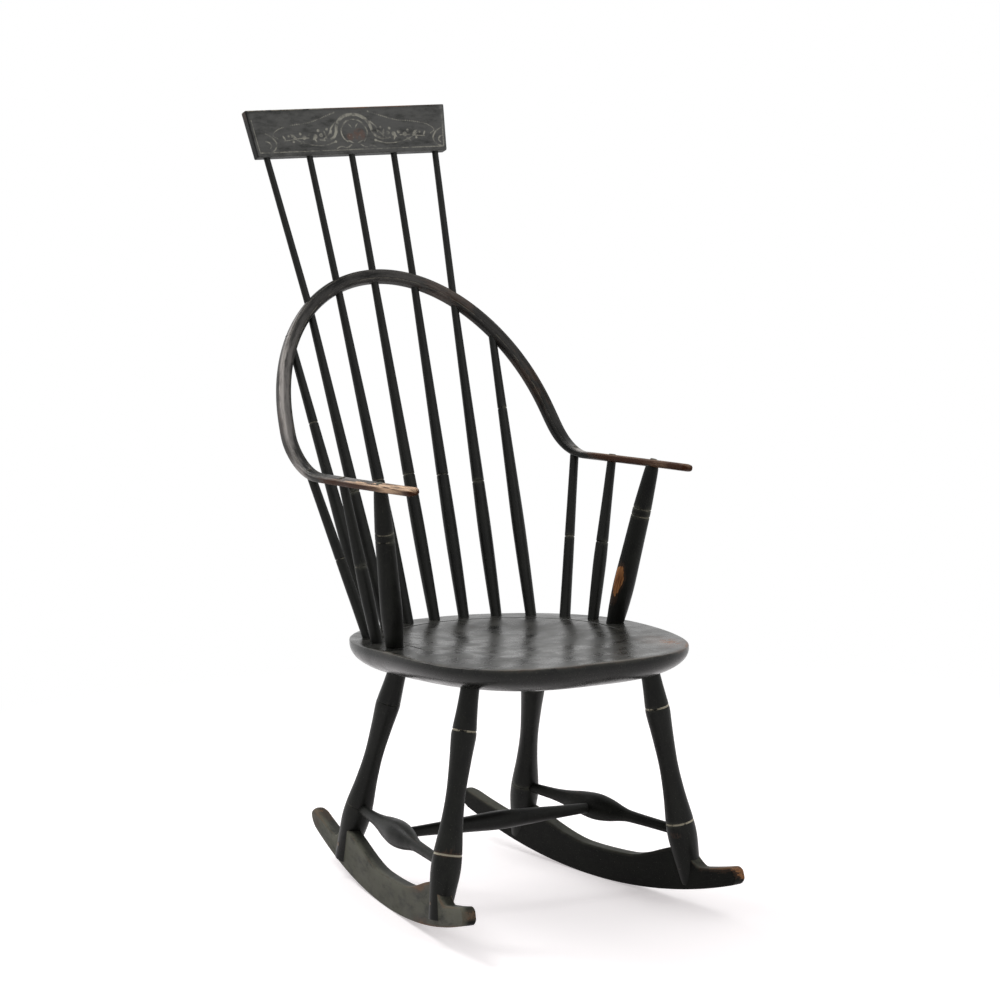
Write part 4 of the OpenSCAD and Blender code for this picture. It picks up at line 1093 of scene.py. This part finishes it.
# %% How far each point is from the drawing
FAR = 9.0
gold = np.full(x.shape, FAR)
for first in range(0, len(drawing), 40):
    some = drawing[first:first + 40]
    reach = some[:, 2].max() + 3
    rows = (x.max(1) > some[:, 0].min() - reach) & (x.min(1) < some[:, 0].max() + reach)
    gap = np.hypot(x[rows][..., None] - some[:, 0], h[rows][..., None] - some[:, 1]) - some[:, 2]
    gold[rows] = np.minimum(gold[rows], gap.min(-1))
gold = np.where(fronts, gold, FAR)
fruit = np.minimum(np.hypot(x - 15, (h - 30) * 1.05) - 10.5, np.hypot(x + 1, h - 27) - 6.5)
fruit = np.where(fronts, fruit, FAR)
print("points in gold strokes:", int((gold < 0).sum()))

# %% Where the crest is worn, and its paint
# grey for the bloom and the painted sheen on the crest's face
CREST_GREY_AND_SHEEN = (0.180, 0.180, 0.172, 1)

on_top = near(h, CREST_H, 4.0)
crest_wear = 0.08 + 0.16 * near(from_edge, 0, 1.4) + on_top * (0.30 + 0.42 * near(x, 45, 70))
# the grey on the face is a bloom made lighter as a painted sheen; the light line at the end on the sitter's
# left is a painted highlight
crest_bloom_and_sheen = np.where(fronts, 0.64 * (1 - 0.6 * near(x, -168, 4)) * (1 - 0.6 * on_top), 0.02)
crest_bloom_and_sheen = np.clip(crest_bloom_and_sheen + 0.5 * fronts * near(x, 165, 4), 0, 1)
crest_bloom_and_sheen = crest_bloom_and_sheen * ease((1 - abs(stations[:, None])) * HALF_CREST / 2.5)

# an olive line, what is left of gilding, runs along the upper edge on the sitter's right
gilt_edge = abs(h - 72.6) + np.clip((x + 45) / 12, 0, 50)
crest = skin("crest_board", stand(crest_points), "crest", np.stack([h, c, x], -1) + 500, line=gilt_edge,
             wear=crest_wear, dust_and_sheen=crest_bloom_and_sheen, more={"gold": gold, "rose": fruit, "deep": 0.9})
crest.data.materials.append(old_paint("black_paint_with_stencil_and_painted_sheen", gilt=0.5, shine=0.12, drawn=True,
                                      dust_and_sheen=CREST_GREY_AND_SHEEN, cover=(0.16, 0.60)))
print("crest points:", len(crest.data.vertices))

# %% [markdown]
# ## The rockers' curve
# Each rocker is sawn so that its lower edge is part of a circle. The chair then rolls evenly,
# and comes to rest with its balance point straight above the lowest place. Under each leg
# the board is left deeper, because the leg is slotted to straddle it there.

# %% Where the rockers and legs run
ROLL_R = 1028.0                    # radius of the rockers' lower edge
BALANCE_Y = 16.0                   # the lowest place of that arc
ROCKER_X = 176.5                   # from the middle to a rocker, at the widest line
TOE = radians(8.2)                 # the rockers stand closer together at the back
FRONT_FOOT, REAR_FOOT = 193.0, 192.0
BOSS_DEPTH = 63.0                  # depth of the board under a leg
SOCKETS = {"front": (SEAT_W / 2 - 77, -171), "rear": (SEAT_W / 2 - 105, 77)}
FEET = {"front": -FRONT_FOOT, "rear": REAR_FOOT}


def floor_mm(p):
    """A point of the floor frame whose y is 0 at the seat's widest line."""
    return np.asarray(p, float) - (0, MIDDLE_Y, 0)


def rolling_angle(y):
    """How far round the rocker's circle a place y is."""
    return asin((y - BALANCE_Y) / cos(TOE) / ROLL_R)


def rolling_z(y):
    """Height of the rocker's lower edge over the floor."""
    return ROLL_R * (1 - cos(rolling_angle(y)))


def leg_line(side, socket_x, socket_y, foot_y):
    """The leg's axis: where it meets the deck, and its middle in the rocker."""
    top = stand([side * socket_x, socket_y, 0])
    foot_x = side * (ROCKER_X - foot_y * tan(TOE))
    return top, floor_mm([foot_x, foot_y, rolling_z(foot_y) + BOSS_DEPTH / 2])


def at_height(line, z):
    """Point of a leg's axis at a height over the floor."""
    return line[0] + (line[1] - line[0]) * ((line[0][2] - z) / (line[0][2] - line[1][2]))


legs = {}
for side in (1, -1):
    for place in ("front", "rear"):
        legs[side, place] = leg_line(side, *SOCKETS[place], FEET[place])
upright = unit(legs[1, "front"][0] - legs[1, "front"][1])[2]
print("a front leg leans", round(float(np.degrees(np.arccos(upright)))), "degrees")

# %% [markdown]
# ## Legs
# Turned from a hard wood such as maple, with two rings each, so that they read as bamboo.
# The swellings are full and the waist is slim. The foot is sawn up the middle and straddles
# the rocker, with a peg through both. Here the leg's skin runs down into the rocker's, so
# the cheeks of the slot show on both sides of the board.

# %% Legs
NECK_D, LEG_SWELL_D, WAIST_D, ANKLE_D, LEG_END_D = 27.0, 35.5, 27.5, 42.0, 29.0
LEG_TOP = 15          # how far under the deck the skin starts, square to the deck
LEG_HIDDEN = 32       # and from there to the underside of the seat
word_of = {1: "left", -1: "right"}

for (side, place), line in legs.items():
    drop = unit(line[1] - line[0])
    slope = -drop[2] * cos(SEAT_TILT) - drop[1] * sin(SEAT_TILT)
    top = line[0] + drop * (LEG_TOP / slope)
    foot = at_height(line, rolling_z(FEET[place]) + 10)
    start = LEG_HIDDEN / slope
    run = np.linalg.norm(foot - top) - start
    marks = [(1, NECK_D), (start, NECK_D), (start + 0.08 * run, mix(NECK_D, LEG_SWELL_D, 0.3)),
             (start + 0.176 * run, mix(NECK_D, LEG_SWELL_D, 0.92), "scored"),
             (start + 0.21 * run, LEG_SWELL_D), (start + 0.31 * run, mix(WAIST_D, LEG_SWELL_D, 0.45)),
             (start + 0.45 * run, WAIST_D), (start + 0.58 * run, mix(WAIST_D, ANKLE_D, 0.28)),
             (start + 0.713 * run, mix(WAIST_D, ANKLE_D, 0.9), "scored"), (start + 0.79 * run, ANKLE_D),
             (start + 0.88 * run, mix(ANKLE_D, LEG_END_D, 0.42)), (start + run, LEG_END_D)]
    if place == "rear":
        rubs = ()
    elif side < 0:
        rubs = [(start + 0.713 * run, (0.4, -1, 0), 9, 1.6, 0.24)]
    else:
        rubs = [(start + 0.76 * run, (-1, -0.6, 0), 5, 0.5, 0.3)]
    turn(f"leg_{place}_{word_of[side]}", f"leg_{place}_{word_of[side]}", top, foot, marks, around=56,
         patches=rubs, dust_and_sheen=0.05, finish=leg_paint if place == "front" else back_leg_paint)
print("length of a leg:", round(float(np.linalg.norm(foot - top))), "mm")

# %% [markdown]
# ## Stretchers
# Two side stretchers join the legs in pairs and swell steeply in the middle, where a cross
# stretcher ties them together. They have no rings. Shoes rest on them, so each side one is
# rubbed brown in one place on its top.

# %% Side stretchers
STRETCHER_H = 107.0                                  # height over the floor
THIN_D, SIDE_THICK_D, CROSS_THICK_D = 15.0, 39.0, 28.0


def side_d(share):
    return mix(THIN_D, SIDE_THICK_D, share)


bulges = {}
for side in (1, -1):
    a, b = at_height(legs[side, "front"], STRETCHER_H), at_height(legs[side, "rear"], STRETCHER_H)
    u = unit(b - a)
    start, length = a - u * 3, np.linalg.norm(b - a) + 6
    bulges[side] = a + (b - a) * 0.53
    if side > 0:
        rubs, finish = [(0.62 * length, (-0.3, 0, 1), 40, 0.9, 0.24)], rocker_paint
    else:
        rubs, finish = [(0.3 * length, (0, 0, 1), 30, 0.8, 0.2)], post_paint
    turn(f"side_stretcher_{word_of[side]}", f"side_stretcher_{word_of[side]}", start, start + u * length,
         [(0, THIN_D), (24, THIN_D), (0.3 * length, side_d(0.08)), (0.37 * length, side_d(0.28)),
          (0.45 * length, side_d(0.76)), (0.53 * length, SIDE_THICK_D), (0.62 * length, side_d(0.78)),
          (0.71 * length, side_d(0.38)), (0.8 * length, side_d(0.12)), (length - 24, THIN_D),
          (length, THIN_D)], around=52, patches=rubs, dust_and_sheen=0.06, finish=finish)
print("side stretcher:", round(float(length)), "mm")


# %% Cross stretcher
def cross_d(share):
    return mix(THIN_D, CROSS_THICK_D, share)


start, end = bulges[1] + (4, 0, 0), bulges[-1] - (4, 0, 0)
length = np.linalg.norm(end - start)
turn("cross_stretcher", "cross_stretcher", start, end,
     [(1, THIN_D), (23.5, THIN_D), (0.2 * length, cross_d(0.25)), (0.36 * length, cross_d(0.7)),
      (0.5 * length, CROSS_THICK_D), (0.64 * length, cross_d(0.7)), (0.8 * length, cross_d(0.25)),
      (length - 23.5, THIN_D), (length - 1, THIN_D)])
print("cross stretcher:", round(float(length)), "mm")

# %% [markdown]
# ## Rockers
# Slices follow the arc from the front tip to the heel. A slice reaches from the rolling edge
# up to the board's depth there, and near the ends it draws in to make the rounded nose. The
# rear ends have been knocked and rubbed rounder than the front ones, on all their edges.

# %% How deep a rocker is
NOSE_R = 11.5                                          # rounding of both ends, seen from the side
TIP_DEPTH, END_DEPTH, MID_DEPTH = 26.0, 33.0, 46.0     # at the tips, beside the feet, between the legs
ROCKER_T = 20.0
FRONT_END, REAR_END = NOSE_R - 306.0, 336.0 - NOSE_R   # where the noses start
NOSE_Y = FRONT_END - NOSE_R + 0.25                     # the very tip, a hair inside the solid's


def rocker_depth(y):
    """Depth of the board at y: its taper, with a boss under each leg."""
    if y < -FRONT_FOOT:
        base = mix(END_DEPTH, TIP_DEPTH, (-y - FRONT_FOOT) / (-FRONT_END - FRONT_FOOT))
    elif y > REAR_FOOT:
        base = mix(END_DEPTH, TIP_DEPTH, (y - REAR_FOOT) / (REAR_END - REAR_FOOT))
    else:
        base = MID_DEPTH
    front_boss = ease(1 - abs(y + FRONT_FOOT) / (125 if y > -FRONT_FOOT else 42))
    rear_boss = ease(1 - abs(y - REAR_FOOT) / (165 if y < REAR_FOOT else 42))
    return base + (BOSS_DEPTH - base) * float(max(front_boss, rear_boss))


print("depth at a front foot:", rocker_depth(-FRONT_FOOT), "mm, between the feet:", rocker_depth(0.0), "mm")

# %% The rockers' slices
EDGE_R = 2.2           # easing of all edges
WORN_EDGE_R = 7.0      # what wear adds to it at the rear end
WORN_RUN = 24          # over this length


def rocker_slices(side):
    """Rings of the board, and for each point: across, up, from the nearest edge, below the top."""
    rings, facts = [], []
    for y in ys:
        d = min(y - NOSE_Y, REAR_END + NOSE_R - y)
        cut = float(nose(d, NOSE_R)) if d < NOSE_R else 0.0
        depth = TIP_DEPTH if d < NOSE_R else rocker_depth(y)
        softened = EDGE_R + WORN_EDGE_R * float(ease(1 - (REAR_END + NOSE_R - y) / WORN_RUN))
        drawn_in = float(nose(d, 4.0 if y > 0 else 2.2))
        points, inside = board_ring(ROCKER_T / 2 - drawn_in, cut, depth - cut, softened, 16, 16)
        a = rolling_angle(y)
        along_board, z = (ROLL_R - points[:, 1]) * sin(a), ROLL_R - (ROLL_R - points[:, 1]) * cos(a)
        px = side * (ROCKER_X - BALANCE_Y * tan(TOE)) - side * sin(TOE) * along_board
        px = px + side * cos(TOE) * points[:, 0]
        py = BALANCE_Y + cos(TOE) * along_board + sin(TOE) * points[:, 0]
        rings.append(floor_mm(np.stack([px, py, z], -1)))
        facts.append(np.column_stack([points, np.minimum(inside, d), depth - points[:, 1]]))
    return np.array(rings), np.array(facts)


close_in = np.array([0.25, 0.5, 0.8, 1.4, 2.4, 3.8, 5.6, 7.8, 10.0])
ys = np.concatenate([NOSE_Y + close_in, np.linspace(FRONT_END, REAR_END, 190),
                     (REAR_END + NOSE_R - close_in)[::-1]])
print("slices of a rocker:", len(ys))

# %% [markdown]
# The two rockers have aged differently. The one on the sitter's right has its outer face
# grey with dust, broken by brown rubs near the front foot and at the rear end. The other is
# nearly clean, and its front tip is worn to bare wood by shoes. A light grey line along its top
# edge is a painted reflection.

# %% Where the rockers are worn
def at_y(y, reach):
    """Slices near a place along the board."""
    return near(ys, y, reach)[:, None]


def plain_rocker_wear(close, below_top):
    """What both rockers share: rubbed edges, and a rubbed rear end."""
    wear = 0.06 + 0.24 * near(close, 0, 1.4) + 0.14 * near(below_top, 0, 4)
    return wear + 0.15 * at_y(REAR_END, 20)


def dusty_rocker(facing, up_from, close, below_top):
    """Wear and dust of the rocker on the sitter's right."""
    outer = ease(facing / 8)
    at_front = at_y(FRONT_END - NOSE_R, 22)
    dust_and_sheen = 0.74 * outer + 0.25 * near(below_top, 0, 8) + 0.4 * near(close, 0, 2) * at_front
    wear = plain_rocker_wear(close, below_top) + 0.28 * at_y(-255, 45) * outer
    wear = wear + 0.12 * near(below_top, 4, 8) * outer + 0.12 * at_front

    # brown rubs: along the edges, two bands near the front foot, and the rear end
    edge_rub = near(close, 0, 2.3) * (0.25 + at_y(-175, 60) + 0.35 * at_y(-285, 32))
    edge_rub = edge_rub + near(below_top, 6, 7) * at_y(-142, 45) * outer
    edge_rub = edge_rub + near(up_from, 6, 7) * at_y(-140, 42) * outer
    edge_rub = edge_rub + 0.5 * at_y(312, 34) * ease((up_from - 3) / 6)
    edge_rub = np.clip(edge_rub, 0, 1)
    return wear + 0.64 * edge_rub, dust_and_sheen * (1 - 0.62 * edge_rub)


def clean_rocker(facing, up_from, close, below_top):
    """Wear and dust of the rocker on the sitter's left, and a painted reflection along its top edge."""
    very_tip = at_y(FRONT_END - NOSE_R, 4.5) * ease((up_from - 2) / 8)
    # the light line along the top edge is a painted reflection, laid on as dust
    dust_and_sheen = 0.03 + 0.45 * near(below_top, 0, 2.5)
    wear = plain_rocker_wear(close, below_top) + 0.20 * at_y(-262, 40)
    wear = wear + 0.30 * at_y(FRONT_END - NOSE_R, 22) * near(below_top, 0, 9)
    wear = wear + 0.72 * very_tip * ease((facing + 3) / 9)
    return wear + 0.34 * at_y(NOSE_Y, 62) * near(below_top, 0, 9), dust_and_sheen


print("slices close to the front foot:", int((abs(ys + FRONT_FOOT) < 42).sum()))

# %% The rockers in their paint
for side in (1, -1):
    rings, facts = rocker_slices(side)
    facing, up_from, close, below_top = facts[..., 0], facts[..., 1], facts[..., 2], facts[..., 3]
    aged = dusty_rocker if side < 0 else clean_rocker
    wear, dust_and_sheen = aged(facing, up_from, close, below_top)
    grain = np.stack([facing, up_from, np.broadcast_to(ys[:, None], facing.shape)], -1) + 1700 * side
    board = skin(f"rocker_{word_of[side]}", rings, f"rocker_{word_of[side]}", grain, wear=wear,
                 dust_and_sheen=np.clip(dust_and_sheen, 0, 1), more={"deep": 0.9 if side < 0 else 0.5})
    board.data.materials.append(rocker_paint)
print("rocker points:", len(board.data.vertices))

# %% [markdown]
# ## Pegs, wedges and pins
# The small fastenings are the CAD solids themselves. They were painted over with the rest and
# have rubbed through, so they get a bare, dirty wood. A solid carries no facts for the paint,
# so this finish takes its grain from the object's own coordinates.

# %% Bare wood of the fastenings
PEG_DARK, PEG_LIGHT = (0.080, 0.050, 0.032, 1), (0.190, 0.135, 0.085, 1)


def dirty_wood():
    finish, tree = fresh_finish("rubbed_peg_wood")
    place = plug(tree, "ShaderNodeTexCoord").outputs["Object"]
    fibre = plug(tree, "ShaderNodeTexNoise", {"Vector": place, "Scale": 900.0, "Detail": 4.0}).outputs["Fac"]
    cloud = plug(tree, "ShaderNodeTexNoise", {"Vector": place, "Scale": 160.0, "Detail": 3.0}).outputs["Fac"]
    colour = blend(tree, step(tree, fibre, 0.4, 0.65), PEG_DARK, PEG_LIGHT)
    colour = blend(tree, step(tree, cloud, 0.30, 0.55), BLACK_GREY, colour)
    bump = plug(tree, "ShaderNodeBump", {"Height": fibre, "Strength": 0.3, "Distance": 0.0004})
    coat = plug(tree, "ShaderNodeBsdfPrincipled", {"Base Color": colour, "Roughness": 0.6,
                                                   "Normal": bump.outputs[0]})
    plug(tree, "ShaderNodeOutputMaterial", {"Surface": coat.outputs[0]})
    return finish


peg_wood = dirty_wood()
fastenings = ("rocker_pegs", "tenon_wedges", "crest_pins")
for node in fastenings:
    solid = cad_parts[node]
    solid.data.materials.clear()
    solid.data.materials.append(peg_wood)
print("fastenings finished:", len(fastenings))

# %% [markdown]
# ## The studio
# A plain pale floor, and a large soft lamp up behind the chair and to the left, whose shadow
# falls toward the lower right. To the camera, and in reflections, the room is white. As light
# it is bright above and behind and dimmer in front, so the black paint keeps its depth.
#
# The Light Path node tells these two uses apart: it says what kind of ray is asking.

# %% Who is looking
def background_ray(tree):
    """1 for what the camera sees by eye, in a reflection or through something clear, else 0."""
    path = plug(tree, "ShaderNodeLightPath")
    seen = sums(tree, "MAXIMUM", path.outputs["Is Camera Ray"], path.outputs["Is Glossy Ray"])
    return sums(tree, "MAXIMUM", seen, path.outputs["Is Transmission Ray"])


print("the background shows to camera, glossy and transmission rays")

# %% The floor
FLOOR_COLOUR = (0.80, 0.785, 0.79, 1)
FLOOR_GLOW = (1, 0.948, 0.954, 1)
FLOOR_HALF = 14.0


def pale_floor():
    """Paper that shows the chair's shadow close by and is white further away.

    Its glow lifts the paper toward white for the eye only, so it throws no more light.
    """
    finish, tree = fresh_finish("pale_floor")
    paper = plug(tree, "ShaderNodeBsdfDiffuse", {"Color": FLOOR_COLOUR})
    glow = plug(tree, "ShaderNodeEmission", {"Color": FLOOR_GLOW, "Strength": 0.46})
    lit = plug(tree, "ShaderNodeAddShader", {0: paper.outputs[0], 1: glow.outputs[0]})
    place = plug(tree, "ShaderNodeTexCoord").outputs["Object"]
    away = plug(tree, "ShaderNodeVectorMath", {0: place, 1: (0.25, 0.0, 0.0)}, operation="DISTANCE")
    far = step(tree, away.outputs["Value"], 0.75, 1.5)
    white = plug(tree, "ShaderNodeEmission", {"Color": (1, 1, 1, 1), "Strength": 1.0})
    lit = plug(tree, "ShaderNodeMixShader", {0: far, 1: lit.outputs[0], 2: white.outputs[0]})
    both = plug(tree, "ShaderNodeMixShader", {0: background_ray(tree), 1: paper.outputs[0],
                                              2: lit.outputs[0]})
    plug(tree, "ShaderNodeOutputMaterial", {"Surface": both.outputs[0]})
    return finish


sheet = bpy.data.meshes.new("studio_floor")
sheet.from_pydata([(-FLOOR_HALF, -FLOOR_HALF, 0), (FLOOR_HALF, -FLOOR_HALF, 0),
                   (FLOOR_HALF, FLOOR_HALF, 0), (-FLOOR_HALF, FLOOR_HALF, 0)], [], [(0, 1, 2, 3)])
floor = bpy.data.objects.new("studio_floor", sheet)
bpy.context.scene.collection.objects.link(floor)
sheet.materials.append(pale_floor())
print("floor:", 2 * FLOOR_HALF, "m across")

# %% The room
world = bpy.data.worlds.new("white_room")
bpy.context.scene.world = world
world.use_nodes = True
tree = world.node_tree
tree.nodes.clear()
look = plug(tree, "ShaderNodeTexCoord").outputs["Generated"]
toward = plug(tree, "ShaderNodeVectorMath", {0: look, 1: (0.42, 0.66, 0.62)}, operation="DOT_PRODUCT")
room = plug(tree, "ShaderNodeMapRange", {"Value": toward.outputs["Value"], "From Min": -0.45,
                                         "From Max": 0.75, "To Min": 0.08, "To Max": 1.0},
            interpolation_type="SMOOTHSTEP").outputs["Result"]
brightness = sums(tree, "MAXIMUM", background_ray(tree), room)
air = plug(tree, "ShaderNodeBackground", {"Color": (1, 1, 1, 1), "Strength": brightness})
plug(tree, "ShaderNodeOutputWorld", {"Surface": air.outputs[0]})
print("room ready:", world.name)

# %% [markdown]
# ## Lamps
# Two round area lamps do the rest. The strong one behind and to the left casts the shadow and
# draws the light edges of the spindles. The weak one above the front keeps the near side of
# the legs from going flat. Size makes a lamp soft: these are as wide as a window.

# %% Lamps
from mathutils import Vector


def soft_lamp(name, place, target, size, power_w):
    lamp = bpy.data.lights.new(name, "AREA")
    lamp.shape = "DISK"
    lamp.size = size
    lamp.energy = power_w
    holder = bpy.data.objects.new(name, lamp)
    holder.location = place
    holder.rotation_euler = (Vector(target) - Vector(place)).to_track_quat("-Z", "Y").to_euler()
    bpy.context.scene.collection.objects.link(holder)
    return holder


behind = soft_lamp("lamp_behind_left", (-1.1, 2.3, 3.4), (0, 0, 0.4), 1.8, 70)
above = soft_lamp("lamp_above_front", (0.6, -2.2, 3.6), (0, 0, 0.6), 2.4, 22)
print("lamps:", behind.name, above.name)

# %% [markdown]
# ## The camera
# A long lens in front of the chair, on the sitter's right, that looks down by 9 degrees. Its
# place and lens come from fitting the edges of the chair in the photograph.

# %% Camera
eye = bpy.data.cameras.new("photograph_view")
eye.sensor_width = 36
eye.lens = 140.0
eye.clip_end = 60
camera = bpy.data.objects.new("photograph_view", eye)
camera.location = (-2.74018, -4.88431, 1.4771)
camera.rotation_euler = (radians(80.77), 0, radians(-29.76))
bpy.context.scene.collection.objects.link(camera)
bpy.context.scene.camera = camera
bpy.context.scene.view_settings.view_transform = "Standard"
print("camera", round(eye.lens), "mm lens")

# %% [markdown]
# ## The end
# The last cell counts the skins that were made here. The dressed chair must fit in the CAD
# box.

# %% Count of the skins
print("skins made here:", len(made))
